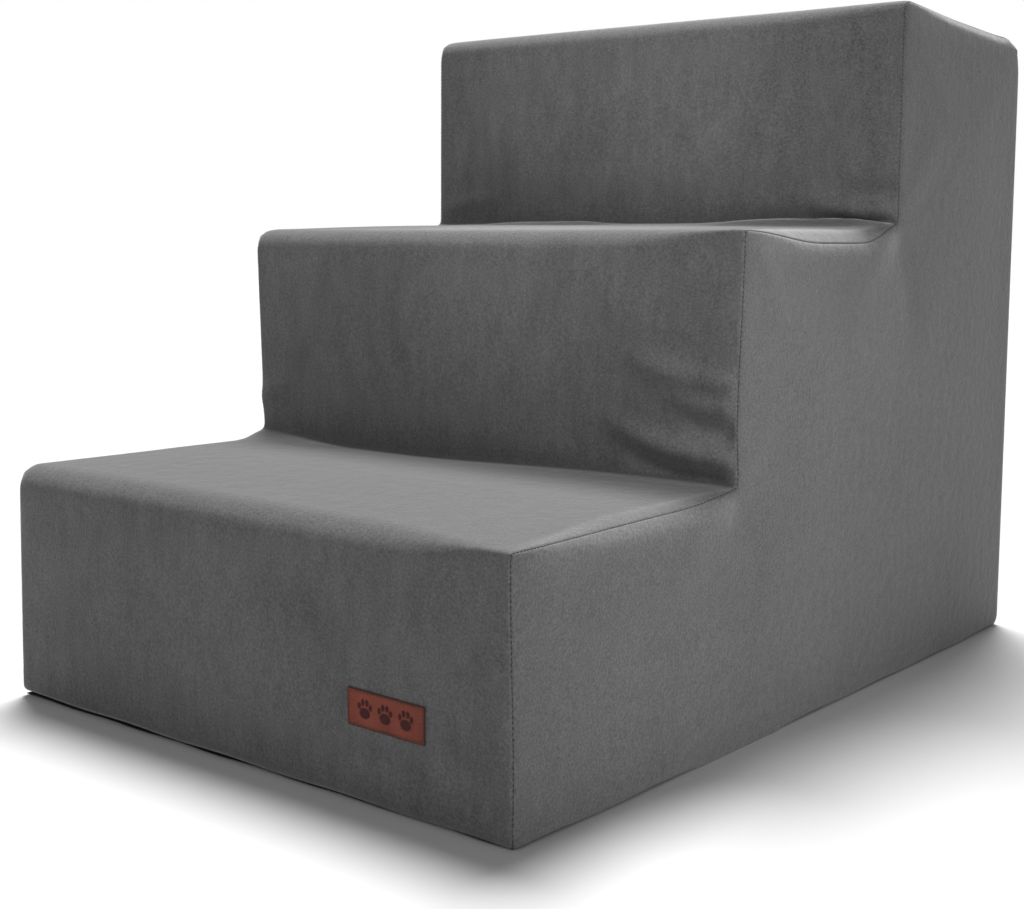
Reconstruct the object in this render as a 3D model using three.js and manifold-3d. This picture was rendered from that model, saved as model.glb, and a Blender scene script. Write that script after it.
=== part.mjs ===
// Pet stairs: three foam steps in one velvet cover that zips open at the back.
// Millimetres. +X is to the right, the low front step faces -Y, +Z is up, and the
// origin is on the floor at the centre of the footprint.

import * as THREE from 'three';
import { mergeVertices } from 'three/addons/utils/BufferGeometryUtils.js';
import Module from 'manifold-3d';

const wasm = await Module();
wasm.setup();

// ---------------------------------------------------------------- driving sizes

const steps = 3;
const width = 400; // side to side
const tread = 200; // depth of one step
const riser = 150; // height of one step

const gap = 0.3; // between pieces that touch
const cloth = 2; // velvet with its backing
const noseRadius = 14; // front edge of a tread
const creaseRadius = 8; // cloth across the corner of a tread and the next riser
const backRadius = 15; // top edge at the back
const seamGroove = 2.5; // room for the seam between two panels
const seamThread = 1.6; // thickness of the seam between two panels
const gripCloth = 2.3; // anti-slip cloth under the bottom
const hemLift = 0.5; // panels and threads stop this far above the floor

const labelWidth = 53;
const labelHeight = 20;
const labelThickness = 1.2;
const labelFromSide = 81; // label's centre from the right side
const labelAboveFloor = 52; // label's centre above the floor
const labelCorner = 2.5;
const stitchInset = 2; // a row of stitches from its piece's edge
const stitchWidth = 0.8;
const stitchHeight = 0.5;

const zipInset = 22; // zip's centreline from the sides and from the floor
const zipCorner = 14; // radius of the centreline's two lower corners
const zipBelowTop = 45; // coils end this far below the top of the stairs
const flapPlay = 1.1; // slider to the edge of the cloth on each side
const flapHinge = 9; // end of the coils up to the uncut cloth
const coilInner = 0.7; // coil's near side from the centreline
const coilWidth = 2.2;
const coilDepth = 2.4;
const tapeWidth = 9.8;
const tapeThickness = 0.6;
const zipStitchInset = 3;

const sliderLength = 12;
const sliderFlare = 1.2; // wider on each side at the end where the coils part
const sliderWall = 1.1;
const sliderPost = 0.8; // width of the wedge between the coils
const sliderFlange = 0.5;
const bridgeSpan = 8.4; // outside length of the loop that holds the pull
const bridgeWidth = 1.6;
const bridgeLeg = 1.4;
const bridgeThickness = 1.2;
const pullBar = 1.1; // diameter of the pull's bar, and thickness of its tab
const pullPlay = 0.4; // between the bar and the top of the slider's loop
const pullArm = 1.2;
const pullArmsWidth = 5.2;
const pullArmLength = 6;
const pullWidth = 6.5;
const pullLength = 26; // tab below the arms
const pullHole = 1.4; // radius of the hole near the tab's end
const stopHeight = 2.7;

const arcSteps = 5; // curveSegments, which three.js doubles on an arc

// ---------------------------------------------------------------- worked out

const depth = steps * tread;
const height = steps * riser;
const halfWidth = width / 2;
const front = -depth / 2;
const back = depth / 2;
const panelEdge = halfWidth - cloth - seamGroove; // strip, bottom and border end here
const coilOuter = coilInner + coilWidth;
const tapeInner = coilOuter + gap;
const tapeOuter = tapeInner + tapeWidth;
const sliderTail = coilOuter + gap + sliderFlange; // half the slider's width below
const sliderHead = sliderTail + sliderFlare; // and half its width above
const flapGap = sliderHead + flapPlay; // zip's centreline to the edge of the cloth
const tapeBack = back - cloth - gap; // tape's outward face
const zipPlane = tapeBack - tapeThickness / 2; // middle of the tapes and the coils
const zipX = halfWidth - zipInset;
const zipTop = height - zipBelowTop;
const flapTop = zipTop + flapHinge;
const wingInner = coilDepth / 2 + gap; // slider's walls clear the coils
const foamBack = zipPlane - wingInner - sliderWall - gap;
const sliderZ = zipTop - sliderLength / 2 - gap;

// ---------------------------------------------------------------- materials

const velvet = material(0x8f9092, 0.85);
const darkThread = material(0x2b2b2d, 0.8);
const greyThread = material(0x6f7073, 0.8);
const gripBlack = material(0x17181a, 0.9);
const foam = material(0xe9e2c8, 0.95);
const leather = material(0x8a5238, 0.6);
const tape = material(0x77787b, 0.85);
const coil = material(0x88898c, 0.45);
const metal = material(0xb9bbbf, 0.3, 1);

function material(color, roughness, metalness = 0) {
  return new THREE.MeshStandardMaterial({ color, roughness, metalness });
}

// ---------------------------------------------------------------- helpers

const alongX = new THREE.Matrix4().makeBasis(
  new THREE.Vector3(0, 1, 0), new THREE.Vector3(0, 0, 1), new THREE.Vector3(1, 0, 0));
const alongY = new THREE.Matrix4().makeBasis(
  new THREE.Vector3(1, 0, 0), new THREE.Vector3(0, 0, 1), new THREE.Vector3(0, -1, 0));

function extrude(shape, length) {
  return new THREE.ExtrudeGeometry(
    shape, { depth: length, bevelEnabled: false, curveSegments: arcSteps });
}

// A shape drawn in Y and Z, filled from x0 to x1.
function acrossX(shape, x0, x1) {
  return extrude(shape, x1 - x0).applyMatrix4(alongX).translate(x0, 0, 0);
}

// A shape drawn in X and Z, filled from y0 to y1.
function acrossY(shape, y0, y1) {
  return extrude(shape, y1 - y0).applyMatrix4(alongY).translate(0, y1, 0);
}

// A shape drawn in X and Y, filled from z0 to z1.
function upZ(shape, z0, z1) {
  return extrude(shape, z1 - z0).translate(0, 0, z0);
}

function box(x0, x1, y0, y1, z0, z1) {
  return new THREE.BoxGeometry(x1 - x0, y1 - y0, z1 - z0)
    .translate((x0 + x1) / 2, (y0 + y1) / 2, (z0 + z1) / 2);
}

function toSolid(geometry) {
  const bare = geometry.clone();
  bare.deleteAttribute('normal');
  bare.deleteAttribute('uv');
  const merged = mergeVertices(bare);
  return new wasm.Manifold(new wasm.Mesh({
    numProp: 3,
    vertProperties: merged.attributes.position.array,
    triVerts: new Uint32Array(merged.index.array),
  }));
}

function toGeometry(solid) {
  const mesh = solid.getMesh();
  const geometry = new THREE.BufferGeometry();
  geometry.setAttribute('position', new THREE.BufferAttribute(mesh.vertProperties, 3));
  geometry.setIndex(new THREE.BufferAttribute(mesh.triVerts, 1));
  geometry.computeVertexNormals();
  return geometry;
}

function join(geometries) {
  return toGeometry(geometries.map(toSolid).reduce((sum, next) => sum.add(next)));
}

function cut(geometry, tool) {
  return toGeometry(toSolid(geometry).subtract(toSolid(tool)));
}

function piece(name, geometry, surface) {
  const mesh = new THREE.Mesh(geometry, surface);
  mesh.name = name;
  return mesh;
}

// ---------------------------------------------------------------- outlines

// The stairs' outline in Y and Z, moved in by `inset`, from the foot of the first
// riser over every nose and crease to the foot of the back.
function stairPath(inset, foot) {
  const path = new THREE.Path();
  for (let step = 1; step <= steps; step += 1) {
    const face = front + (step - 1) * tread;
    const top = step * riser;
    path.absarc(face + noseRadius, top - noseRadius, noseRadius - inset, Math.PI, Math.PI / 2, true);
    if (step < steps) {
      path.absarc(face + tread - creaseRadius, top + creaseRadius, creaseRadius + inset,
        -Math.PI / 2, 0, false);
    }
  }
  path.absarc(back - backRadius, height - backRadius, backRadius - inset, Math.PI / 2, 0, true);
  return [
    new THREE.Vector2(front + inset, foot), ...path.getPoints(arcSteps),
    new THREE.Vector2(back - inset, foot)];
}

// The cloth's thickness, or a seam's, all along the stairs' outline.
function stairBand(outside, inside, foot) {
  return new THREE.Shape([...stairPath(outside, foot), ...stairPath(inside, foot).reverse()]);
}

function roundedRectangle(x0, x1, y0, y1, radius) {
  const shape = new THREE.Shape();
  shape.absarc(x1 - radius, y0 + radius, radius, -Math.PI / 2, 0, false);
  shape.absarc(x1 - radius, y1 - radius, radius, 0, Math.PI / 2, false);
  shape.absarc(x0 + radius, y1 - radius, radius, Math.PI / 2, Math.PI, false);
  shape.absarc(x0 + radius, y0 + radius, radius, Math.PI, 1.5 * Math.PI, false);
  return shape;
}

// A rectangular ring, `thickness` wide, inside the given outer rectangle.
function ring(halfX, halfY, thickness) {
  const shape = new THREE.Shape([
    new THREE.Vector2(-halfX, -halfY), new THREE.Vector2(halfX, -halfY),
    new THREE.Vector2(halfX, halfY), new THREE.Vector2(-halfX, halfY)]);
  const x = halfX - thickness;
  const y = halfY - thickness;
  shape.holes.push(new THREE.Path([
    new THREE.Vector2(-x, -y), new THREE.Vector2(-x, y),
    new THREE.Vector2(x, y), new THREE.Vector2(x, -y)]));
  return shape;
}

// The zip's U in X and Z, `offset` outside its centreline, from the top of the left
// leg round to the top of the right one.
function zipPath(offset, top) {
  const x = zipX + offset;
  const z = zipInset - offset;
  const radius = zipCorner + offset;
  const path = new THREE.Path();
  path.absarc(-x + radius, z + radius, radius, Math.PI, 1.5 * Math.PI, false);
  path.absarc(x - radius, z + radius, radius, -Math.PI / 2, 0, false);
  return [new THREE.Vector2(-x, top), ...path.getPoints(arcSteps), new THREE.Vector2(x, top)];
}

function zipBand(from, to, top) {
  return new THREE.Shape([...zipPath(to, top), ...zipPath(from, top).reverse()]);
}

// ---------------------------------------------------------------- foam

const skin = cloth + gap; // foam lies this far inside the cover's outside

function foamBlock(step) {
  const face = front + (step - 1) * tread + skin;
  const bottom = step === 1 ? gripCloth + gap : (step - 1) * riser - cloth;
  const top = step * riser - skin;
  const nose = noseRadius - skin;
  const shape = new THREE.Shape();
  shape.moveTo(foamBack, bottom);
  shape.lineTo(face, bottom);
  shape.absarc(face + nose, top - nose, nose, Math.PI, Math.PI / 2, true);
  if (step === steps) {
    const radius = backRadius - (back - foamBack);
    shape.absarc(foamBack - radius, top - radius, radius, Math.PI / 2, 0, true);
  } else {
    shape.lineTo(foamBack, top);
  }
  const side = halfWidth - skin;
  return acrossX(shape, -side, side);
}

function foamBlocks() {
  const names = ['foam_lower', 'foam_middle', 'foam_upper'];
  return names.map((name, index) => piece(name, foamBlock(index + 1), foam));
}

// ---------------------------------------------------------------- cover

// The strip's back wall is a flap between the zip's two legs.
function coverStrip() {
  const strip = acrossX(stairBand(0, cloth, hemLift), -panelEdge, panelEdge);
  const around = new THREE.Shape([
    ...zipPath(-flapGap, flapTop),
    new THREE.Vector2(width, flapTop), new THREE.Vector2(width, -riser),
    new THREE.Vector2(-width, -riser), new THREE.Vector2(-width, flapTop)]);
  return cut(strip, acrossY(around, back - 2 * cloth, back + cloth));
}

function sidePanel(side) {
  const shape = new THREE.Shape(stairPath(0, hemLift));
  const outer = side * halfWidth;
  const inner = side * (halfWidth - cloth);
  return acrossX(shape, Math.min(outer, inner), Math.max(outer, inner));
}

function bottomPanel() {
  const halfDepth = depth / 2 - cloth - seamGroove;
  return box(-panelEdge, panelEdge, -halfDepth, halfDepth, 0, gripCloth);
}

// Velvet between the zip and the edges of the back.
function backBorder() {
  const top = flapTop - gap;
  const shape = new THREE.Shape([
    new THREE.Vector2(-panelEdge, hemLift), new THREE.Vector2(panelEdge, hemLift),
    new THREE.Vector2(panelEdge, top), ...zipPath(flapGap, top).reverse(),
    new THREE.Vector2(-panelEdge, top)]);
  return acrossY(shape, back - cloth, back);
}

function cover() {
  return [
    piece('cover_strip', coverStrip(), velvet),
    piece('side_panel_left', sidePanel(-1), velvet),
    piece('side_panel_right', sidePanel(1), velvet),
    piece('back_border', backBorder(), velvet),
    piece('bottom_panel', bottomPanel(), gripBlack),
  ];
}

// ---------------------------------------------------------------- seams

const threadFromPanel = (seamGroove - seamThread) / 2;

function sideSeam(side) {
  const inner = panelEdge + threadFromPanel;
  const sink = (cloth - seamThread) / 2; // thread lies in the middle of the cloth's thickness
  const shape = stairBand(sink, sink + seamThread, hemLift);
  const start = side < 0 ? -inner - seamThread : inner;
  return acrossX(shape, start, start + seamThread);
}

function bottomSeam() {
  const halfX = halfWidth - cloth - threadFromPanel;
  const halfY = depth / 2 - cloth - threadFromPanel;
  return upZ(ring(halfX, halfY, seamThread), hemLift, hemLift + seamThread);
}

function seams() {
  return [
    piece('seam_thread_left', sideSeam(-1), darkThread),
    piece('seam_thread_right', sideSeam(1), darkThread),
    piece('bottom_seam_thread', bottomSeam(), darkThread),
  ];
}

// ---------------------------------------------------------------- label

function label() {
  const patchBack = front - gap;
  const patchFront = patchBack - labelThickness;
  const halfX = labelWidth / 2;
  const halfZ = labelHeight / 2;
  const patch = acrossY(
    roundedRectangle(-halfX, halfX, -halfZ, halfZ, labelCorner), patchFront, patchBack);
  const stitchBack = patchFront - gap;
  const stitching = acrossY(
    ring(halfX - stitchInset, halfZ - stitchInset, stitchWidth), stitchBack - stitchHeight, stitchBack);
  const group = new THREE.Group();
  group.position.set(halfWidth - labelFromSide, 0, labelAboveFloor);
  group.add(piece('label', patch, leather), piece('label_stitching', stitching, darkThread));
  return group;
}

// ---------------------------------------------------------------- zip

function zipTapes() {
  const top = flapTop - gap;
  const y0 = tapeBack - tapeThickness;
  return [
    piece('zip_tape_inner', acrossY(zipBand(-tapeOuter, -tapeInner, top), y0, tapeBack), tape),
    piece('zip_tape_outer', acrossY(zipBand(tapeInner, tapeOuter, top), y0, tapeBack), tape),
  ];
}

function zipCoils() {
  const y0 = zipPlane - coilDepth / 2;
  const y1 = zipPlane + coilDepth / 2;
  return [
    piece('zip_coil_inner', acrossY(zipBand(-coilOuter, -coilInner, zipTop), y0, y1), coil),
    piece('zip_coil_outer', acrossY(zipBand(coilInner, coilOuter, zipTop), y0, y1), coil),
  ];
}

function zipStitching() {
  const near = flapGap + zipStitchInset;
  const far = near + stitchWidth;
  const top = flapTop - zipStitchInset;
  const y0 = back + gap;
  const y1 = y0 + stitchHeight;
  return [
    piece('zip_stitching_inner', acrossY(zipBand(-far, -near, top), y0, y1), greyThread),
    piece('zip_stitching_outer', acrossY(zipBand(near, far, top), y0, y1), greyThread),
  ];
}

// A clip's section in X and Y: it holds the tape's edge in a slot on each side given.
function clipSection(sides) {
  const reach = tapeInner + 1.2;
  const half = coilDepth / 2 + gap;
  const slot = tapeThickness / 2 + gap;
  const slotEnd = coilOuter;
  const left = sides.includes(-1);
  const right = sides.includes(1);
  const points = [[left ? -reach : coilInner, -half], [right ? reach : -coilInner, -half]];
  if (right) points.push([reach, -slot], [slotEnd, -slot], [slotEnd, slot], [reach, slot]);
  points.push([right ? reach : -coilInner, half], [left ? -reach : coilInner, half]);
  if (left) points.push([-reach, slot], [-slotEnd, slot], [-slotEnd, -slot], [-reach, -slot]);
  return new THREE.Shape(points.map(([x, y]) => new THREE.Vector2(x, y)));
}

function zipStop(name, legX, sides) {
  const clip = piece(name, upZ(clipSection(sides), 0, stopHeight), metal);
  clip.position.set(legX, zipPlane, zipTop + gap);
  return clip;
}

function zipStops() {
  return [
    zipStop('zip_top_stop_inner', zipX, [-1]),
    zipStop('zip_top_stop_outer', zipX, [1]),
    zipStop('zip_bottom_stop', -zipX, [-1, 1]),
  ];
}

// The slider and its pull are drawn about the slider's centre: X across the zip, Y out
// of the back from the middle of the tapes, and Z along the zip.
const wingOuter = wingInner + sliderWall;
const barY = back + gap + stitchHeight + gap + pullBar / 2 - zipPlane; // tab clears the stitches
const bridgeInside = barY + pullBar / 2 + pullPlay;

// Each wing is wide above, where the coils part, and narrow below.
function sliderWing(y0, y1) {
  const x = sliderHead;
  const tail = sliderTail;
  const end = sliderLength / 2;
  const corner = 1.5;
  const shape = new THREE.Shape([
    new THREE.Vector2(-tail + corner, -end), new THREE.Vector2(tail - corner, -end),
    new THREE.Vector2(tail, -end + corner), new THREE.Vector2(x, end / 3),
    new THREE.Vector2(x, end - corner), new THREE.Vector2(x - corner, end),
    new THREE.Vector2(-x + corner, end), new THREE.Vector2(-x, end - corner),
    new THREE.Vector2(-x, end / 3), new THREE.Vector2(-tail, -end + corner)]);
  return acrossY(shape, y0, y1);
}

function slider() {
  const end = sliderLength / 2;
  const post = sliderPost / 2;
  const overlap = sliderWall / 2;
  const slot = tapeThickness / 2 + gap;
  const bridge = bridgeWidth / 2;
  const span = bridgeSpan / 2;
  const parts = [
    sliderWing(wingInner, wingOuter),
    sliderWing(-wingOuter, -wingInner),
    box(-post, post, -wingInner - overlap, wingInner + overlap, 0, end - 1),
    box(-bridge, bridge, bridgeInside, bridgeInside + bridgeThickness, -span, span),
  ];
  for (const side of [-1, 1]) {
    const legs = [side * span, side * (span - bridgeLeg)].sort((a, b) => a - b);
    parts.push(box(-bridge, bridge, wingOuter - overlap, bridgeInside + bridgeThickness / 2, ...legs));
    for (const across of [-1, 1]) {
      const x = [across * (sliderTail - sliderFlange), across * sliderTail].sort((a, b) => a - b);
      const y = [side * slot, side * (wingInner + overlap)].sort((a, b) => a - b);
      parts.push(box(...x, ...y, -end + 1.5, end - 1.5));
    }
  }
  return join(parts);
}

// The pull is drawn about the middle of its bar and hangs down.
function pull() {
  const arms = pullArmsWidth / 2;
  const slot = arms - pullArm;
  const tab = pullWidth / 2;
  const low = -pullArmLength;
  const end = low - pullLength;
  const shape = new THREE.Shape();
  shape.moveTo(-arms, 0);
  shape.lineTo(-arms, low);
  shape.lineTo(-tab, low - 1.5);
  shape.absarc(0, end + tab, tab, Math.PI, 2 * Math.PI, false);
  shape.lineTo(tab, low - 1.5);
  shape.lineTo(arms, low);
  shape.lineTo(arms, 0);
  shape.lineTo(slot, 0);
  shape.lineTo(slot, low);
  shape.lineTo(-slot, low);
  shape.lineTo(-slot, 0);
  const hole = new THREE.Path();
  hole.absarc(0, end + tab, pullHole, 0, 2 * Math.PI, true);
  shape.holes.push(hole);
  const half = pullBar / 2;
  const bar = new THREE.CylinderGeometry(half, half, pullArmsWidth, 16).rotateZ(Math.PI / 2);
  return join([acrossY(shape, -half, half), bar]);
}

function sliderAndPull() {
  const group = new THREE.Group();
  group.position.set(zipX, zipPlane, sliderZ);
  const tab = piece('zip_pull', pull(), metal);
  tab.position.y = barY;
  group.add(piece('zip_slider', slider(), metal), tab);
  return group;
}

// ---------------------------------------------------------------- the stairs

const stairs = new THREE.Group();
stairs.name = 'pet_stairs';
stairs.add(
  ...foamBlocks(), ...cover(), ...seams(), label(),
  ...zipTapes(), ...zipCoils(), ...zipStitching(), ...zipStops(), sliderAndPull());

export default stairs;
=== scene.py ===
"""Pet stairs: three foam steps in one velvet cover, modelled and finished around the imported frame."""

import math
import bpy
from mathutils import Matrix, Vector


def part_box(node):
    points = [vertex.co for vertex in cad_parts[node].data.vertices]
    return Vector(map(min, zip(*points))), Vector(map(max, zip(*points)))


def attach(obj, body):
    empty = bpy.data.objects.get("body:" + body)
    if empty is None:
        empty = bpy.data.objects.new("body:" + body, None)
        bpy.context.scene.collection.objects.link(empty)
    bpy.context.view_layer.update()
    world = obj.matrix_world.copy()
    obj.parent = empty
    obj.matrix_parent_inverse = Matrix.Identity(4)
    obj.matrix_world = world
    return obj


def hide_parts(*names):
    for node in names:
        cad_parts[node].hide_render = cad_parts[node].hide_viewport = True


bl_info = {
    "name": "Pet stairs",
    "version": (1, 0, 0),
    "blender": (4, 5, 0),
    "location": "View3D > Sidebar > Pet stairs",
    "description": "Builds the cover, foam, label and zip of a set of foam pet stairs",
    "category": "Add Mesh",
}

from collections import namedtuple

import bmesh
import bpy
import numpy as np
from bpy.props import FloatProperty, FloatVectorProperty, PointerProperty
from mathutils import Quaternion, Vector

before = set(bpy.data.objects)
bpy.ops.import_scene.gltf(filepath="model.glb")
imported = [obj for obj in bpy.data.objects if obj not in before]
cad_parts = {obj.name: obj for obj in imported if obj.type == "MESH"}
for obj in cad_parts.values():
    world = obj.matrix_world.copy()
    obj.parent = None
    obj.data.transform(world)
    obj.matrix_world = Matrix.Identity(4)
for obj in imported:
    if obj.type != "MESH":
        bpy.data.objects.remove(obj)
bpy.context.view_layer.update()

# ------------------------------------------------------------------ sizes from the frame

MM = 0.001
STRIP_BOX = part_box("cover_strip")
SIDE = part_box("side_panel_right")[1][0]  # outside of the right panel
FRONT, BACK, TOP = STRIP_BOX[0][1], STRIP_BOX[1][1], STRIP_BOX[1][2]
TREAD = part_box("foam_middle")[0][1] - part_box("foam_lower")[0][1]
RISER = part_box("foam_middle")[1][2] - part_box("foam_lower")[1][2]
STEPS = round(TOP / RISER)
SLIDER_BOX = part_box("zip_slider")
ZIP_X = (SLIDER_BOX[0][0] + SLIDER_BOX[1][0]) / 2
ZIP_INSET = SIDE - ZIP_X  # the zip's centreline from the sides and from the floor
FLAP_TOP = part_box("zip_tape_inner")[1][2]
ZIP_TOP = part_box("zip_coil_inner")[1][2]
TAPE_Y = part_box("zip_tape_inner")[0][1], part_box("zip_tape_inner")[1][1]
ZIP_PLANE = sum(TAPE_Y) / 2
LABEL_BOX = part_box("label")
ZIP_CORNER = 14 * MM  # radius of the zip's centreline at its lower corners

# ------------------------------------------------------------------ settings


class CoverSizes(bpy.types.PropertyGroup):
    """Sizes of the velvet cover over the foam."""

    cloth: FloatProperty(
        name="Cloth", description="Thickness of the velvet", default=1.5 * MM, unit="LENGTH")
    nose_middle: FloatProperty(
        name="Nose in the middle", description="Radius of a tread's front edge, halfway across",
        default=15 * MM, unit="LENGTH")
    nose_left: FloatProperty(
        name="Nose at the left seam", description="Radius of a tread's front edge at the left",
        default=15 * MM, unit="LENGTH")
    nose_right: FloatProperty(
        name="Nose at the right seam", description="Radius of a tread's front edge at the right",
        default=3 * MM, unit="LENGTH")
    back_edge: FloatProperty(
        name="Back edge", description="Radius of the top edge at the back",
        default=26 * MM, unit="LENGTH")
    crease_middle: FloatProperty(
        name="Crease in the middle", description="Radius of the cloth where a tread meets a riser",
        default=2.5 * MM, unit="LENGTH")
    crease_side: FloatProperty(
        name="Crease at the seam", description="The same radius at the side seams",
        default=3 * MM, unit="LENGTH")
    edge: FloatProperty(
        name="Edge", description="Radius across a side seam on a riser",
        default=3.2 * MM, unit="LENGTH")
    crown: FloatProperty(
        name="Crown", description="How far the foam swells each panel",
        default=2 * MM, unit="LENGTH")
    groove: FloatProperty(
        name="Seam depth", description="How far the cloth dips into a seam",
        default=0.6 * MM, unit="LENGTH")
    hem: FloatProperty(
        name="Hem", description="Height of the velvet's lower edge above the floor",
        default=1.2 * MM, unit="LENGTH")
    zip_gap: FloatProperty(
        name="Zip gap", description="Zip's centreline to the edge of the cloth on each side",
        default=6 * MM, unit="LENGTH")


class StitchSizes(bpy.types.PropertyGroup):
    """Sizes of the threads and their stitches."""

    pitch: FloatProperty(
        name="Pitch", description="One stitch to the next in the side seams",
        default=2.8 * MM, unit="LENGTH")
    thread: FloatProperty(
        name="Thread", description="Diameter of the seam thread", default=0.55 * MM, unit="LENGTH")
    label_pitch: FloatProperty(
        name="Label pitch", description="One stitch to the next round the label",
        default=2.3 * MM, unit="LENGTH")
    label_thread: FloatProperty(
        name="Label thread", description="Diameter of the label's thread",
        default=0.5 * MM, unit="LENGTH")
    zip_pitch: FloatProperty(
        name="Zip row pitch", description="One stitch to the next beside the zip",
        default=3.2 * MM, unit="LENGTH")


class ZipSizes(bpy.types.PropertyGroup):
    """Sizes of the zip's coils."""

    pitch: FloatProperty(
        name="Pitch", description="One coil turn to the next", default=1.45 * MM, unit="LENGTH")
    wire: FloatProperty(
        name="Wire", description="Thickness of the coil's wire", default=0.9 * MM, unit="LENGTH")
    bevel: FloatProperty(
        name="Slider edges", description="Rounding of the metal edges",
        default=0.22 * MM, unit="LENGTH")


class Colours(bpy.types.PropertyGroup):
    """Colours of the finishes."""

    velvet: FloatVectorProperty(
        name="Velvet", description="The pile seen straight on", subtype="COLOR",
        size=3, default=(0.088, 0.088, 0.089), min=0, max=1)
    velvet_sheen: FloatVectorProperty(
        name="Velvet sheen", description="The pile's shine along its edges", subtype="COLOR",
        size=3, default=(0.60, 0.60, 0.61), min=0, max=1)
    leather: FloatVectorProperty(
        name="Label", description="Brown imitation leather", subtype="COLOR",
        size=3, default=(0.182, 0.042, 0.025), min=0, max=1)
    print: FloatVectorProperty(
        name="Label print", description="The pressed paw mark", subtype="COLOR",
        size=3, default=(0.040, 0.006, 0.005), min=0, max=1)
    foam: FloatVectorProperty(
        name="Foam", description="Cut seat foam", subtype="COLOR",
        size=3, default=(0.80, 0.72, 0.48), min=0, max=1)


SETTINGS = {
    "cover_sizes": CoverSizes, "stitch_sizes": StitchSizes,
    "zip_sizes": ZipSizes, "stair_colours": Colours,
}

# ------------------------------------------------------------------ grid of the cover

Edge = namedtuple("Edge", "start direction length")


def outline_edges():
    """Edges of the stair outline in Y and Z, from the front hem to the back hem."""
    edges = []
    for step in range(STEPS):
        y, z = FRONT + step * TREAD, step * RISER
        edges.append(Edge((y, z), (0.0, 1.0), RISER))
        edges.append(Edge((y, z + RISER), (1.0, 0.0), TREAD))
    edges.append(Edge((BACK, TOP), (0.0, -1.0), TOP))
    return edges


EDGES = outline_edges()
BACK_EDGE = len(EDGES) - 1

# Spacing of the cover's grid: close beside a seam, on noses and in creases.
SEAM, FINE, NEAR, WIDE = 1.25 * MM, 4.2 * MM, 5.5 * MM, 7.8 * MM
ROUND_ZONE, CREASE_ZONE = 28 * MM, 12 * MM


def graded(stops):
    """Places along a line from (place, step) pairs: each step holds up to the next place."""
    places = [stops[0][0]]
    for (low, step), (high, _) in zip(stops, stops[1:]):
        count = max(1, round((high - low) / step))
        places += [low + (high - low) * i / count for i in range(1, count + 1)]
    return places


def grid_heights(gap):
    stops = [
        (0.0, NEAR), (ZIP_INSET - gap, NEAR), (ZIP_INSET + gap, 0.25 * ZIP_CORNER),
        (ZIP_INSET + ZIP_CORNER, WIDE)]
    for step in range(STEPS):
        top = (step + 1) * RISER
        if step:
            stops += [(step * RISER, FINE), (step * RISER + CREASE_ZONE, WIDE)]
        if step == STEPS - 1:
            stops.append((FLAP_TOP, NEAR))
        stops += [(top - ROUND_ZONE, FINE), (top - SEAM, SEAM)]
    return graded(stops + [(TOP, SEAM)])


def grid_depths():
    stops = []
    for step in range(STEPS):
        y = FRONT + step * TREAD
        stops += [(y, SEAM), (y + SEAM, FINE), (y + ROUND_ZONE, WIDE)]
        if step < STEPS - 1:
            stops.append((y + TREAD - CREASE_ZONE, FINE))
    return graded(stops + [(BACK - ROUND_ZONE, FINE), (BACK - SEAM, SEAM), (BACK, SEAM)])


def grid_widths(gap):
    half = graded([
        (0.0, 1.5 * WIDE), (0.5 * SIDE, WIDE), (ZIP_X - ZIP_CORNER, 0.25 * ZIP_CORNER),
        (ZIP_X - gap, gap), (ZIP_X, gap),
        (ZIP_X + gap, NEAR), (SIDE - SEAM, SEAM), (SIDE, SEAM)])
    return [-x for x in reversed(half[1:])] + half


def strip_rows(gap):
    """(edge, distance along it) of every row of the strip."""
    heights, depths = np.array(grid_heights(gap)), np.array(grid_depths())
    rows = []
    for number, edge in enumerate(EDGES):
        lines, start = (depths, edge.start[0]) if edge.direction[0] else (heights, edge.start[1])
        along = np.sort((lines - start) * (edge.direction[0] + edge.direction[1]))
        along = along[(along > -MM / 100) & (along < edge.length + MM / 100)]
        rows += [(number, u) for u in (along if number == 0 else along[1:])]
    return rows


# ------------------------------------------------------------------ shape of the cover

# Slack of the cover at the three treads' side seams: how far the seam slips down the
# side, and the radius of the foam's edge there.
TREAD_SLIPS = {1: (-1.5 * MM, 15 * MM), 3: (5.5 * MM, 17 * MM), 5: (-2.5 * MM, 9 * MM)}
NOSE_WEAR = {5: 7 * MM}  # how much rounder than the others a nose is at its right seam

# Soft folds pulled into the cloth. On a strip edge, a fold runs from (x, u) to (x, u),
# where u is the distance along that edge. On the sides it runs from (y, z) to (y, z).
Fold = namedtuple("Fold", "place start end height width")
STRIP_FOLDS = [
    Fold(2, (200, 62), (116, 78), 3.4, 6.5),
    Fold(2, (200, 47), (140, 58), 2.4, 5.5),
    Fold(2, (200, 33), (150, 43), -1.8, 5.0),
    Fold(2, (196, 18), (100, 39), 4.6, 6.5),
    Fold(2, (190, 4), (118, 16), -2.8, 5.5),
    Fold(2, (-196, 24), (-150, 44), 1.6, 7.0),
    Fold(4, (198, 26), (150, 32), -1.4, 5.5),
    Fold(4, (198, 12), (120, 24), 2.4, 6.0),
    Fold(4, (198, 2), (128, 13), -1.8, 5.5),
    Fold(4, (-196, 14), (-130, 22), 1.6, 6.0),
    Fold(3, (188, 189), (40, 188), 4.6, 6.5),
    Fold(3, (-30, 190), (-170, 186), 2.6, 8.0),
    Fold(1, (-110, 182), (-190, 188), 1.2, 12.0),
    Fold(0, (150, 40), (196, 24), -1.2, 8.0),
    Fold(0, (96, 26), (150, 22), -0.9, 6.0),
    Fold(0, (-196, 118), (-130, 104), 1.0, 9.0),
]
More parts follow.
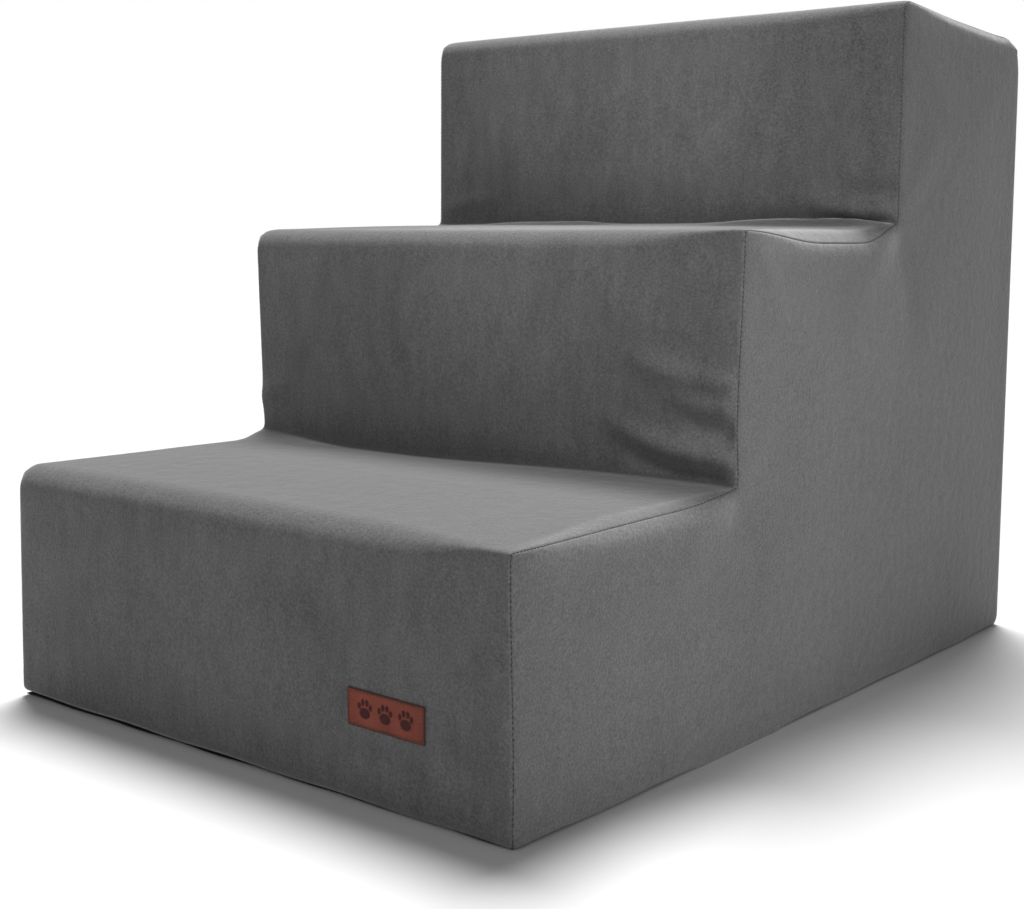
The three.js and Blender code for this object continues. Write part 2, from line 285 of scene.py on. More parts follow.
SIDE_FOLDS = [
    Fold("side", (-108, 148), (-190, 104), 1.4, 14.0),
    Fold("side", (-100, 140), (-80, 60), -1.0, 16.0),
    Fold("side", (-86, 168), (-30, 214), 1.0, 14.0),
    Fold("side", (92, 298), (20, 262), 1.3, 13.0),
    Fold("side", (102, 288), (130, 214), -1.1, 15.0),
    Fold("side", (112, 316), (170, 372), 1.0, 14.0),
    Fold("side", (-284, 132), (-238, 96), 1.1, 11.0),
    Fold("side", (-84, 284), (-52, 236), 1.2, 11.0),
]


def smooth(t):
    t = np.clip(t, 0.0, 1.0)
    return t * t * (3 - 2 * t)


def outward(direction):
    """Outside normal of an outline edge, in Y and Z."""
    return np.array([-direction[1], direction[0]])


def fold_heights(folds, a, b):
    """Height of some folds at the places (a, b)."""
    total = np.zeros(a.shape)
    for fold in folds:
        start, end = np.array(fold.start) * MM, np.array(fold.end) * MM
        way = end - start
        length = np.hypot(*way)
        along = ((a - start[0]) * way[0] + (b - start[1]) * way[1]) / length
        off = ((a - start[0]) * way[1] - (b - start[1]) * way[0]) / length
        off = off + 0.06 * length * np.sin(np.pi * along / length)
        share = along / length
        ends = smooth((share + 0.15) / 0.3) * smooth((1.05 - share) / 0.65)
        total += fold.height * MM * ends * np.exp(-((off / (fold.width * MM)) ** 2))
    return total


def fold_strip(points):
    """Pulls the soft folds into the risers and the treads of the finished cloth."""
    x, y, z = points.T
    moved = points.copy()
    reach = 9 * MM
    inside = smooth((SIDE - 0.8 * MM - abs(x)) / (5 * MM))
    for number, edge in enumerate(EDGES[:BACK_EDGE]):
        folds = [fold for fold in STRIP_FOLDS if fold.place == number]
        direction, normal = np.array(edge.direction), outward(edge.direction)
        away = np.stack([y, z], axis=1) - np.array(edge.start)
        u, off = away @ direction, away @ normal
        on_edge = smooth((reach - abs(off)) / (0.3 * reach))
        on_edge *= smooth(u / (6 * MM) + 0.5) * smooth((edge.length - u) / (6 * MM) + 0.5)
        rise = fold_heights(folds, x, u) * on_edge * inside
        moved[:, 1:] += rise[:, None] * normal
    return moved


def seam_slip(number, u):
    """How far the side seam has slipped over the edge, and the edge's radius there."""
    edge_radius = bpy.context.scene.cover_sizes.edge
    if number not in TREAD_SLIPS:
        return np.zeros_like(u), np.full_like(u, edge_radius)
    slip, radius = TREAD_SLIPS[number]
    length = EDGES[number].length
    slack = smooth(u / (0.5 * length)) * smooth((length - u) / (0.2 * length))
    return slip * slack, edge_radius + (radius - edge_radius) * slack


def over_edge(t, slip, radius):
    """Rolls the distance `t` past a side seam over a rounded edge.

    Returns how far the cloth lies in from the outline and in from the side."""
    t = t + slip * np.exp(-((t / (45 * MM)) ** 2))
    angle = np.clip((t / radius + 1) * math.pi / 4, 0, math.pi / 2)
    down = radius * (1 - np.cos(angle)) + np.maximum(t - radius, 0)
    inboard = radius * (1 - np.sin(angle)) + np.maximum(-t - radius, 0)
    return down, inboard


def outline_point(number, u, x):
    """The outline at `u` along an edge for each `x`, and its outside normal."""
    middle = smooth((SIDE - abs(x)) / (95 * MM))
    sizes = bpy.context.scene.cover_sizes
    edge = EDGES[number]
    direction = np.array(edge.direction)
    late = u > edge.length / 2
    neighbour = number + 1 if late else number - 1
    if not 0 <= neighbour < len(EDGES):
        point = np.array(edge.start) + direction * u
        size = (len(middle), 2)
        return np.broadcast_to(point, size), np.broadcast_to(outward(direction), size)
    other = np.array(EDGES[neighbour].direction)
    before, after = (direction, other) if late else (other, direction)
    corner = np.array(edge.start) + direction * (edge.length if late else 0)
    t = u - edge.length if late else u
    convex = before[0] * after[1] - before[1] * after[0] < 0
    if max(number, neighbour) == BACK_EDGE:
        radius = np.full(middle.shape, sizes.back_edge)
    elif convex:
        worn = sizes.nose_right + NOSE_WEAR.get(max(number, neighbour), 0)
        side = np.where(x < 0, sizes.nose_left, worn)
        radius = side + (sizes.nose_middle - side) * middle
    else:
        radius = sizes.crease_side + (sizes.crease_middle - sizes.crease_side) * middle
    angle = (np.clip(t / radius, -1, 1) + 1) * math.pi / 4
    centre = corner + radius[:, None] * (after - before)
    arm = np.outer(np.sin(angle), before) - np.outer(np.cos(angle), after)
    extra = np.maximum(abs(t) - radius, 0)[:, None] * direction * (-1 if late else 1)
    return centre + radius[:, None] * arm + extra, arm if convex else -arm


def crown_of(number, u, x):
    """Share of the full crown on the strip. The back stays flat beside the zip."""
    share = np.clip(u / EDGES[number].length, 0, 1)
    if number == BACK_EDGE:
        inside = smooth((ZIP_X - 20 * MM - abs(x)) / (60 * MM))
        return inside * np.sin(np.pi * share) ** 2
    return np.sin(np.pi * share) ** 0.8 * (1 - abs(x / SIDE) ** 4)


def strip_points(x, rows):
    """Points of the strip: an array of rows by columns by 3."""
    sizes = bpy.context.scene.cover_sizes
    points = []
    for number, u in rows:
        at, normal = outline_point(number, u, x)
        slip, radius = seam_slip(number, np.full_like(x, u))
        down, inboard = over_edge(abs(x) - SIDE, slip, radius)
        rise = sizes.crown * crown_of(number, u, x) - down
        yz = at + rise[:, None] * normal
        points.append(np.stack([np.sign(x) * (SIDE - inboard), yz[:, 0], yz[:, 1]], axis=1))
    return np.array(points)


def side_points(y, z):
    """Points of the right side panel over its flat grid, before its corners are eased."""
    sizes = bpy.context.scene.cover_sizes
    x = np.full(y.shape, SIDE)
    shift = np.zeros((len(y), 2))
    nearest = np.full(y.shape, 1.0)
    for number, edge in enumerate(EDGES):
        direction, normal = np.array(edge.direction), outward(edge.direction)
        away = np.stack([y, z], axis=1) - np.array(edge.start)
        u, t = away @ direction, -(away @ normal)
        beside = (u > -MM / 100) & (u < edge.length + MM / 100) & (t > -MM / 100)
        slip, radius = seam_slip(number, np.clip(u, 0, edge.length))
        down, inboard = over_edge(t, slip, radius)
        x = np.where(beside, np.minimum(x, SIDE - inboard), x)
        shift += np.where(beside, t - down, 0)[:, None] * normal
        past = np.maximum(np.maximum(-u, u - edge.length), 0)
        nearest = np.minimum(nearest, np.hypot(t, past))
    x += sizes.crown * smooth(nearest / (90 * MM))
    x += fold_heights(SIDE_FOLDS, y, z) * smooth(nearest / (10 * MM))
    return np.stack([x, y + shift[:, 0], z + shift[:, 1]], axis=1)


def ease(points, goal, fixed, neighbours, rounds=400):
    """Moves the fixed points to their goals and spreads their shift over the others."""
    shift = np.zeros_like(points)
    shift[fixed] = goal - points[fixed]
    count = (neighbours >= 0).sum(axis=1)[:, None]
    for _ in range(rounds):
        mean = np.vstack([shift, np.zeros(3)])[neighbours].sum(axis=1) / count
        shift = np.where(fixed[:, None], shift, mean)
    return points + shift


# How far a tread's nose has sunk at its left and right ends, and how far its right end
# has moved forward and to the right.
NoseSag = namedtuple("NoseSag", "left right forward sideways")
NOSE_SAGS = {
    1: NoseSag(1.6 * MM, 3.2 * MM, 3.0 * MM, -0.8 * MM),
    2: NoseSag(2.6 * MM, 0.3 * MM, -1.5 * MM, 1.8 * MM),
}


def sag_noses(points):
    """Lets the front of the lower treads sink into the foam."""
    x, y, z = points.T
    across = (x / SIDE + 1) / 2
    moved = points.copy()
    for step, sag in NOSE_SAGS.items():
        front, top = FRONT + (step - 1) * TREAD, step * RISER
        near = np.exp(-(((y - front) / (75 * MM)) ** 2))
        high = smooth((z - top + 0.85 * RISER) / (0.85 * RISER)) * (z < top + 20 * MM)
        share = near * high
        to_right = share * smooth(2 * across - 1)
        moved[:, 2] -= share * (sag.left + (sag.right - sag.left) * across ** 2)
        moved[:, 1] -= to_right * sag.forward
        moved[:, 0] += to_right * sag.sideways
    return moved


# How far the taut cloth stands off each inner corner: up in the middle, up and back at the
# right seam, and up and inwards at the left seam.
CreaseLift = namedtuple("CreaseLift", "middle right back left inwards")
CREASE_LIFTS = {
    1: CreaseLift(-1.6 * MM, 3.2 * MM, 3.0 * MM, 4.5 * MM, 8.0 * MM),
    2: CreaseLift(3.5 * MM, 4.5 * MM, 0.5 * MM, 3.0 * MM, 1.0 * MM),
}
TOP_SAG = 7.5 * MM  # how far the top tread slopes down to its back edge, at the right


def lift_creases(points):
    """Pulls the cloth off the inner corners, most of all at the seams."""
    x, y, z = points.T
    to_right, to_left = smooth(x / SIDE + 0.3) * (x > -0.3 * SIDE), smooth(-2 * x / SIDE - 1)
    moved = points.copy()
    for step, lift in CREASE_LIFTS.items():
        back, up = y - FRONT - step * TREAD, z - step * RISER
        reach = (26 - 11 * to_left) * MM
        near = np.exp(-((np.hypot(back, up) / reach) ** 2))
        wide = np.clip(1 - np.hypot(back / TREAD, up / RISER), 0, 1)
        middle = lift.middle * (1 - to_right - to_left)
        moved[:, 2] += near * (middle + lift.right * to_right + lift.left * to_left)
        moved[:, 1] += near * lift.back * to_right
        moved[:, 0] += wide * lift.inwards * to_left
    behind = np.clip((y - BACK + TREAD) / TREAD, 0, 1)
    high = smooth((z - TOP + RISER) / RISER)
    moved[:, 2] -= TOP_SAG * behind * high * (0.7 + 0.3 * x / SIDE)
    return moved


STRIP, LEFT, RIGHT, BORDER = range(4)


def strip_faces(x, rows):
    """Faces of the strip with the panel of each, leaving out the zip's run."""
    gap = bpy.context.scene.cover_sizes.zip_gap
    faces, panels = [], []
    for r in range(len(rows) - 1):
        number, u = rows[r + 1]
        before = rows[r][1] if rows[r][0] == number else 0.0
        height = TOP - (u + before) / 2
        zipped = number == BACK_EDGE and height < FLAP_TOP
        for c in range(len(x) - 1):
            middle = abs(x[c] + x[c + 1]) / 2
            outside = middle > ZIP_X + gap or height < ZIP_INSET - gap
            inside = middle < ZIP_X - gap and height > ZIP_INSET + gap
            if zipped and not outside and not inside:
                continue
            a = r * len(x) + c
            faces.append((a, a + 1, a + 1 + len(x), a + len(x)))
            panels.append(BORDER if zipped and outside else STRIP)
    return faces, panels


def side_grid(rows, gap):
    """The side panels' flat grid: places, faces, four neighbours, and strip row or -1."""
    depths, heights = grid_depths(), grid_heights(gap)
    number = {}
    for i, y in enumerate(depths):
        step = min(int((y - FRONT + MM / 100) / TREAD), STEPS - 1)
        for j, z in enumerate(heights):
            if z < (step + 1) * RISER + MM / 100:
                number[i, j] = len(number)
    places = np.array([(depths[i], heights[j]) for i, j in number])
    around = np.array([
        [number.get((i + a, j + b), -1) for a, b in ((1, 0), (-1, 0), (0, 1), (0, -1))]
        for i, j in number])
    faces = [
        [number.get((i + a, j + b), -1) for a, b in ((0, 0), (1, 0), (1, 1), (0, 1))]
        for i, j in number]
    sewn = np.full(len(places), -1)
    for r, (edge, u) in enumerate(rows):
        at = np.array(EDGES[edge].start) + np.array(EDGES[edge].direction) * u
        near = abs(places - at).max(axis=1)
        sewn[near.argmin()] = r
    return places, [face for face in faces if -1 not in face], around, sewn


def round_zip_corners(points):
    """Turns the square corners of the zip's run on the back into arcs round one centre."""
    x, y, z = points.T
    across = abs(x) - (ZIP_X - ZIP_CORNER)
    down = ZIP_INSET + ZIP_CORNER - z
    square = np.maximum(across, down)
    far = np.maximum(np.hypot(across, down), 1e-9)
    reach = ZIP_CORNER + ZIP_INSET  # where the rounding has faded out, at the hem
    round_edge = ZIP_CORNER + bpy.context.scene.cover_sizes.zip_gap
    fade = 1 - smooth((square - round_edge) / (reach - round_edge))
    corner = (y > BACK - 4 * MM) & (across > 0) & (down > 0)
    factor = np.where(corner, 1 + fade * (square / far - 1), 1)
    moved = points.copy()
    moved[:, 0] = np.sign(x) * (ZIP_X - ZIP_CORNER + across * factor)
    moved[:, 2] = ZIP_INSET + ZIP_CORNER - down * factor
    return moved


def cover_form():
    """Points, faces and panels of the whole cover, sewn at the side seams."""
    sizes = bpy.context.scene.cover_sizes
    x, rows = np.array(grid_widths(sizes.zip_gap)), strip_rows(sizes.zip_gap)
    strip = strip_points(x, rows)
    points = list(strip.reshape(-1, 3))
    faces, panels = strip_faces(x, rows)
    places, cells, around, sewn = side_grid(rows, sizes.zip_gap)
    for side, panel, column in ((-1, LEFT, 0), (1, RIGHT, len(x) - 1)):
        flat = side_points(places[:, 0], places[:, 1])
        fixed = sewn >= 0
        goal = strip[sewn[fixed], column] * (side, 1, 1)
        eased = ease(flat, goal, fixed, around) * (side, 1, 1)
        index = sewn * len(x) + column
        index[~fixed] = len(points) + np.arange((~fixed).sum())
        points += list(eased[~fixed])
        for cell in cells:
            loop = [int(index[n]) for n in cell]
            faces.append(loop if side > 0 else loop[::-1])
            panels.append(panel)
    points = round_zip_corners(lift_creases(sag_noses(np.array(points))))
    low = points[:, 2] < MM / 100
    tuck = 1.2 * MM / SIDE
    points[low] *= (1 - tuck, 1 - tuck, 1)
    lift = 2.2 * MM * (0.5 - points[low, 0] / (2 * SIDE)) * (points[low, 1] < FRONT / 2)
    waves = 0.4 * MM * np.sin(70 * (points[low, 0] - points[low, 1]))
    points[low, 2] = sizes.hem + lift + waves
    return points, faces, panels


# ------------------------------------------------------------------ mesh helpers


def new_mesh(name, points, faces):
    """A new object with its place in its mesh."""
    mesh = bpy.data.meshes.new(name)
    mesh.from_pydata(np.asarray(points).tolist(), [], [list(face) for face in faces])
    mesh.update()
    piece = bpy.data.objects.new(name, mesh)
    bpy.context.scene.collection.objects.link(piece)
    return piece


def pick(*pieces):
    """Makes these the only selected objects, with the first one active."""
    bpy.ops.object.select_all(action="DESELECT")
    for piece in pieces:
        piece.select_set(True)
    bpy.context.view_layer.objects.active = pieces[0]


def unpick():
    """Leaves nothing selected, ready for a new primitive."""
    bpy.ops.object.select_all(action="DESELECT")


def apply_modifier(piece, kind, **settings):
    """Adds one modifier, applies it and leaves the rest of the piece alone."""
    pick(piece)
    modifier = piece.modifiers.new(kind.title(), kind)
    for name, value in settings.items():
        setattr(modifier, name, value)
    bpy.ops.object.modifier_apply(modifier=modifier.name)


def subdivide(piece, levels=1):
    apply_modifier(piece, "SUBSURF", levels=levels, render_levels=levels)


def apply_place(piece):
    pick(piece)
    bpy.ops.object.transform_apply(location=True, rotation=True, scale=True)


def smooth_by_angle(piece, degrees=35):
    pick(piece)
    bpy.ops.object.shade_smooth_by_angle(angle=math.radians(degrees))


def coordinates(mesh):
    points = np.empty(len(mesh.vertices) * 3)
    mesh.vertices.foreach_get("co", points)
    return points.reshape(-1, 3)


def move_to(mesh, points):
    mesh.vertices.foreach_set("co", np.asarray(points).ravel())
    mesh.update()


def point_normals(mesh):
    normals = np.empty(len(mesh.vertices) * 3)
    mesh.vertex_normals.foreach_get("vector", normals)
    return normals.reshape(-1, 3)


def finish_piece(piece, material, slot, *nodes, body="cover"):
    """Gives a piece its material and its body, and hides the CAD nodes that it stands for."""
    piece.data.materials.clear()
    piece.data.materials.append(material)
    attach(piece, body)
    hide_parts(*nodes)


def take_pattern(piece):
    """The points and faces of a modelled pattern, which is then thrown away."""
    apply_place(piece)
    points = coordinates(piece.data)
    faces = [list(face.vertices) for face in piece.data.polygons]
    bpy.data.objects.remove(piece)
    return points, faces


def copies(name, pattern, places, ways, ups):
    """One mesh of copies of a pattern: its X runs along `ways`, its Z points to `ups`."""
    points, faces = pattern
    ways = ways / np.linalg.norm(ways, axis=1)[:, None]
    across = np.cross(ups, ways)
    across /= np.linalg.norm(across, axis=1)[:, None]
    ups = np.cross(ways, across)
    turned = np.einsum("pi,nij->npj", points, np.stack([ways, across, ups], axis=1))
    turned += places[:, None, :]
    shifts = np.arange(len(places)) * len(points)
    every = [[v + shift for v in face] for shift in shifts for face in faces]
    piece = new_mesh(name, turned.reshape(-1, 3), every)
    piece.data.polygons.foreach_set("use_smooth", [True] * len(every))
    return piece


def spread_along(line, pitch, *others):
    """Even places along a line of points, the way at each, and other values carried there."""
    line = np.asarray(line)
    run = np.concatenate([[0], np.cumsum(np.linalg.norm(np.diff(line, axis=0), axis=1))])
    count = max(2, round(run[-1] / pitch))
    at = (np.arange(count) + 0.5) * run[-1] / count

    def carried(values):
        return np.stack([np.interp(at, run, values[:, i]) for i in range(3)], axis=1)

    ahead = np.stack([np.interp(at + pitch / 2, run, line[:, i]) for i in range(3)], axis=1)
    behind = np.stack([np.interp(at - pitch / 2, run, line[:, i]) for i in range(3)], axis=1)
    return carried(line), ahead - behind, *[carried(values) for values in others]


def stitch_pattern(length, thickness):
    """One stitch: a thread that bulges between its two holes."""
    unpick()
    bpy.ops.mesh.primitive_uv_sphere_add(segments=6, ring_count=5, radius=0.5)
    stitch = bpy.context.object
    bpy.ops.object.mode_set(mode="EDIT")
    bpy.ops.mesh.select_all(action="SELECT")
    bpy.ops.transform.rotate(value=math.pi / 2, orient_axis="Y", center_override=(0, 0, 0))
    bpy.ops.object.mode_set(mode="OBJECT")
    points = coordinates(stitch.data)
    points[:, 0] = np.sign(points[:, 0]) * abs(points[:, 0] * 2) ** 0.6 / 2
    points *= (length, thickness, thickness)
    points[:, 2] -= 0.8 * thickness * (2 * points[:, 0] / length) ** 4
    move_to(stitch.data, points)
    return take_pattern(stitch)


# ------------------------------------------------------------------ the cover

SEAM_LINES = {}  # side: (points, normals) of the sewn line over the steps

SETTLE_FRAMES, SETTLE_CAP = 12, 3 * MM
FOAM_HOLD = 0.25  # how firmly the foam holds the cloth where it is, up to 1


def settle(sewn):
    """Lets the sewn cover relax over its foam with Cloth, and caps how far it moves."""
    mesh = sewn.data
    start = coordinates(mesh)
    boundary = np.zeros(len(start), bool)
    uses = {}
    for face in mesh.polygons:
        for key in face.edge_keys:
            uses[key] = uses.get(key, 0) + 1
    for key, count in uses.items():
        if count == 1:
            boundary[list(key)] = True
    zip_part = (start[:, 1] > BACK - 3 * MM) & (start[:, 2] < FLAP_TOP + 6 * MM)
    near_zip = zip_part & (abs(start[:, 0]) > ZIP_X - 26 * MM)
    pins = sewn.vertex_groups.new(name="pins")
    pins.add(list(range(len(start))), FOAM_HOLD, "REPLACE")
    pins.add([int(i) for i in np.where(boundary | near_zip)[0]], 1.0, "REPLACE")
    cloth = sewn.modifiers.new("Cloth", "CLOTH")
    settings = cloth.settings
    settings.quality = 5
    settings.mass = 0.12
    settings.tension_stiffness = settings.compression_stiffness = 25
    settings.shear_stiffness = 10
    settings.bending_stiffness = 2.0
    settings.vertex_group_mass = "pins"
    settings.use_pressure = True
    settings.uniform_pressure_force = 1.5
    settings.effector_weights.gravity = 0.2
    cloth.collision_settings.use_collision = False
    cloth.collision_settings.use_self_collision = False
    scene = bpy.context.scene
    scene.frame_start, scene.frame_end = 1, SETTLE_FRAMES
    cloth.point_cache.frame_start, cloth.point_cache.frame_end = 1, SETTLE_FRAMES
    for number in range(1, SETTLE_FRAMES + 1):
        scene.frame_set(number)
    settled = sewn.evaluated_get(bpy.context.evaluated_depsgraph_get()).data
    moved = coordinates(settled) - start
    sewn.modifiers.remove(cloth)
    length = np.linalg.norm(moved, axis=1)[:, None]
    cap = SETTLE_CAP
    moved *= cap * np.tanh(length / cap) / np.maximum(length, 1e-9)
    move_to(mesh, start + moved)
    scene.frame_set(1)


# Painted shade on the folds: the colour is made lighter on the flank of a fold that faces this way, as
# if lit from it, and darker on the flank turned away.
PAINTED_LIGHT_WAY = np.array([0.3, -0.5, 0.81])


def press_seams(sewn):
    """Sinks the cloth into its side seams and keeps the seams' lines for the stitches."""
    depth = bpy.context.scene.cover_sizes.groove
    shape = bmesh.new()
    shape.from_mesh(sewn.data)
    shape.normal_update()
    seam = {}
    for edge in shape.edges:
        panels = {face.material_index for face in edge.link_faces}
        for side, panel in ((-1, LEFT), (1, RIGHT)):
            if panel in panels and len(panels) == 2:
                for vertex in edge.verts:
                    seam.setdefault(vertex, [side, []])[1].append(edge)
    normals = {vertex: vertex.normal.copy() for vertex in seam}
    for side in (-1, 1):
        ends = [v for v, (s, edges) in seam.items() if s == side and len(edges) == 1]
        vertex, last = min(ends, key=lambda v: v.co.y), None
        line = []
        while vertex is not None:
            line.append(vertex)
            ahead = [e for e in seam[vertex][1] if e is not last]
            if not ahead:
                break
            last = ahead[0]
            vertex = last.other_vert(vertex)
        SEAM_LINES[side] = (
            np.array([v.co[:] for v in line]), np.array([normals[v][:] for v in line]))
    beside = {}
    for vertex in seam:
        for edge in vertex.link_edges:
            other = edge.other_vert(vertex)
            if other not in seam:
                beside[other] = normals[vertex]
    for vertex, normal in normals.items():
        vertex.co -= normal * depth
    for vertex, normal in beside.items():
        vertex.co -= normal * (0.22 * depth)
    shape.to_mesh(sewn.data)
    shape.free()
    sewn.data.update()


def painted_edge_highlight(points):
    """Painted highlight on the sides, just below each tread's seam: how much lighter the colour is made
    there.
    """
    x, y, z = points.T
    light = np.zeros(len(points))
    for step in range(STEPS):
        below = (step + 1) * RISER - z
        along = (y - FRONT - step * TREAD) / TREAD
        on_side = smooth((abs(x) - SIDE + 14 * MM) / (10 * MM)) * (below > 1.5 * MM)
        ends = smooth(along / 0.15) * smooth((1.04 - along) / 0.08)
        light += 0.30 * on_side * ends * np.exp(-((below - 6 * MM) / (11 * MM)) ** 2)
    return light


class STAIRS_OT_cover(bpy.types.Operator):
    """Sews the velvet cover, settles it on the foam and cuts it into its four panels"""

    bl_idname = "stairs.cover"
    bl_label = "Velvet cover"

    def execute(self, context):
        points, faces, panels = cover_form()
        sewn = new_mesh("velvet", points, faces)
        for name in ("strip", "left", "right", "border"):
            sewn.data.materials.append(bpy.data.materials.new(name))
        sewn.data.polygons.foreach_set("material_index", panels)
        settle(sewn)
        subdivide(sewn)
        smooth_cloth = point_normals(sewn.data)
        move_to(sewn.data, fold_strip(coordinates(sewn.data)))
        # Painted shade and highlight: the folds' flanks that face the chosen light's way get a lighter
        # colour, the others a darker one.
        painted_light = (point_normals(sewn.data) - smooth_cloth) @ PAINTED_LIGHT_WAY
        # Painted highlight below each tread's seam on the sides, added to the same colour mask.
        painted_light += painted_edge_highlight(coordinates(sewn.data))
        steep = 1 - np.clip(smooth_cloth[:, 2], 0, 1)
        for name, values in (("nap", painted_light), ("steep", steep)):
            mask = sewn.data.attributes.new(name, "FLOAT", "POINT")
            mask.data.foreach_set("value", values)
        press_seams(sewn)
        pick(sewn)
        bpy.ops.mesh.separate(type="MATERIAL")
        cut = {piece.data.materials[0].name: piece for piece in context.selected_objects}
        names = {
            "strip": ("velvet_strip", "cover_strip", velvet("velvet_strip")),
            "left": ("velvet_side_left", "side_panel_left", velvet("velvet_side")),
            "right": ("velvet_side_right", "side_panel_right", velvet("velvet_side")),
            "border": ("velvet_back_border", "back_border", velvet("velvet_back")),
        }
        for key, (name, node, material) in names.items():
            piece = cut[key]
            apply_modifier(
                piece, "SOLIDIFY", thickness=context.scene.cover_sizes.cloth, offset=-1.0)
            smooth_by_angle(piece, 60)
            piece.name = piece.data.name = name
            piece.vertex_groups.clear()
            finish_piece(piece, material, "velvet", node)
        return {"FINISHED"}


def context_zip_gap():
    return bpy.context.scene.cover_sizes.zip_gap


class STAIRS_OT_seams(bpy.types.Operator):
    """Stitches the side seams and the seam round the bottom"""

    bl_idname = "stairs.seams"
    bl_label = "Seam stitches"

    def execute(self, context):
        sizes = context.scene.stitch_sizes
        depth = context.scene.cover_sizes.groove
        pattern = stitch_pattern(0.68 * sizes.pitch, sizes.thread)
        for side, name in ((-1, "left"), (1, "right")):
            line, normals = SEAM_LINES[side]
            places, ways, ups = spread_along(line, sizes.pitch, normals)
            places = places - ups * (0.5 * depth)
            piece = copies("seam_stitches_" + name, pattern, places, ways, ups)
            finish_piece(piece, thread(), "seam_thread", "seam_thread_" + name)
        edge = 3.2 * MM
        x, y, z = SIDE - edge, BACK - edge, 1.1 * MM
        corners = [(-x, -y), (x, -y), (x, y), (-x, y), (-x, -y)]
        line = np.array([
            (a[0] + (b[0] - a[0]) * t / 40, a[1] + (b[1] - a[1]) * t / 40, z)
            for a, b in zip(corners, corners[1:]) for t in range(40)] + [(-x, -y, z)])
        down = np.tile((0.0, 0.0, -1.0), (len(line), 1))
        places, ways, ups = spread_along(line, sizes.pitch, down)
        piece = copies("bottom_seam_stitches", pattern, places, ways, ups)
        finish_piece(piece, thread(), "seam_thread", "bottom_seam_thread")
        return {"FINISHED"}


# ------------------------------------------------------------------ foam and bottom


def soft_block(name, low, high, seed):
    """A cut foam block with slightly eased edges."""
    unpick()
    centre = [(a + b) / 2 for a, b in zip(low, high)]
    bpy.ops.mesh.primitive_cube_add(size=1, location=centre)
    block = bpy.context.object
    block.name = block.data.name = name
    block.dimensions = [b - a for a, b in zip(low, high)]
    apply_place(block)
    bpy.ops.object.mode_set(mode="EDIT")
    bpy.ops.mesh.select_all(action="SELECT")
    bpy.ops.mesh.bevel(offset=9 * MM, segments=4, affect="EDGES")
    bpy.ops.mesh.select_all(action="SELECT")
    bpy.ops.mesh.subdivide(number_cuts=5)
    bpy.ops.object.mode_set(mode="OBJECT")
    points = coordinates(block.data)
    waves = np.sin(points @ np.array([37.0, 23.0, 41.0]) + seed)
    move_to(block.data, points - point_normals(block.data) * (0.5 * MM * (waves + 1))[:, None])
    smooth_by_angle(block, 40)
    return block


class STAIRS_OT_foam(bpy.types.Operator):
    """Cuts the three foam blocks inside the cover"""

    bl_idname = "stairs.foam"
    bl_label = "Foam blocks"

    def execute(self, context):
        inset = 9 * MM
        for seed, level in enumerate(("lower", "middle", "upper")):
            low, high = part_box("foam_" + level)
            low = (low[0] + inset, low[1] + inset, low[2] - (inset if seed else 0))
            high = (high[0] - inset, high[1], high[2] - inset)
            block = soft_block("foam_block_" + level, low, high, seed)
            finish_piece(block, foam(), "foam", "foam_" + level)
        return {"FINISHED"}


class STAIRS_OT_bottom(bpy.types.Operator):
    """Lays the dotted anti-slip cloth under the foam"""

    bl_idname = "stairs.bottom"
    bl_label = "Anti-slip cloth"

    def execute(self, context):
        half = np.array([SIDE - 2.4 * MM, BACK - 2.4 * MM])
        counts = (48, 72)
        unpick()
        bpy.ops.mesh.primitive_grid_add(
            x_subdivisions=counts[0], y_subdivisions=counts[1], size=2,
            location=(0, 0, 0.85 * MM))
        sheet = bpy.context.object
        sheet.scale = (half[0], half[1], 1)
        apply_place(sheet)
        points = coordinates(sheet.data)
        x, y = points[:, 0], points[:, 1]
        rim = smooth((np.maximum(abs(x) - half[0], abs(y) - half[1]) + 9 * MM) / (9 * MM))
        points[:, 2] += 0.45 * MM * rim + 0.1 * MM * np.sin(61 * x + 3) * np.sin(47 * y)
        wave = 1 + rim * 0.6 * MM * np.sin(95 * (x + y)) / half.max()
        points[:, :2] *= wave[:, None]
        move_to(sheet.data, points)
        apply_modifier(sheet, "SOLIDIFY", thickness=0.5 * MM, offset=0.0)
        sheet.name = sheet.data.name = "grip_sheet"
        smooth_by_angle(sheet, 40)
        finish_piece(sheet, grip_cloth(), "grip_cloth", "bottom_panel")
        unpick()
        bpy.ops.mesh.primitive_uv_sphere_add(
            segments=8, ring_count=6, radius=1.3 * MM, location=(0, 0, 0))
        dot = bpy.context.object
        dot.scale = (1, 1, 0.4)
        apply_place(dot)
        bpy.ops.object.mode_set(mode="EDIT")
        bpy.ops.mesh.select_all(action="SELECT")
        bpy.ops.mesh.bisect(plane_co=(0, 0, 0.1 * MM), plane_no=(0, 0, 1), clear_outer=True)
        bpy.ops.object.mode_set(mode="OBJECT")
        pattern = take_pattern(dot)
        pitch = 9 * MM
        across, down = int(2 * half[0] / pitch), int(2 * half[1] / pitch)
        places = np.array([
            ((i - (across - 1) / 2 + 0.5 * (j % 2) - 0.25) * pitch,
             (j - (down - 1) / 2) * pitch, 0.56 * MM)
            for i in range(across) for j in range(down)])
        flat = np.zeros_like(places)
        dots = copies("grip_dots", pattern, places, flat + (1, 0, 0), flat + (0, 0, 1))
        dots.data.materials.append(grip_rubber())
        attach(dots, "cover")
        return {"FINISHED"}


# ------------------------------------------------------------------ label


PAWS = (-14 * MM, 0.0, 14 * MM)  # centres of the pressed marks along the label
PAW_PADS = [  # centre and radii of each pad of a paw, in mm
    (0, -1.9, 3.7, 2.9), (-3.9, 1.6, 1.25, 1.7), (-1.4, 3.7, 1.25, 1.85),
    (1.4, 3.7, 1.25, 1.85), (3.9, 1.6, 1.25, 1.7)]


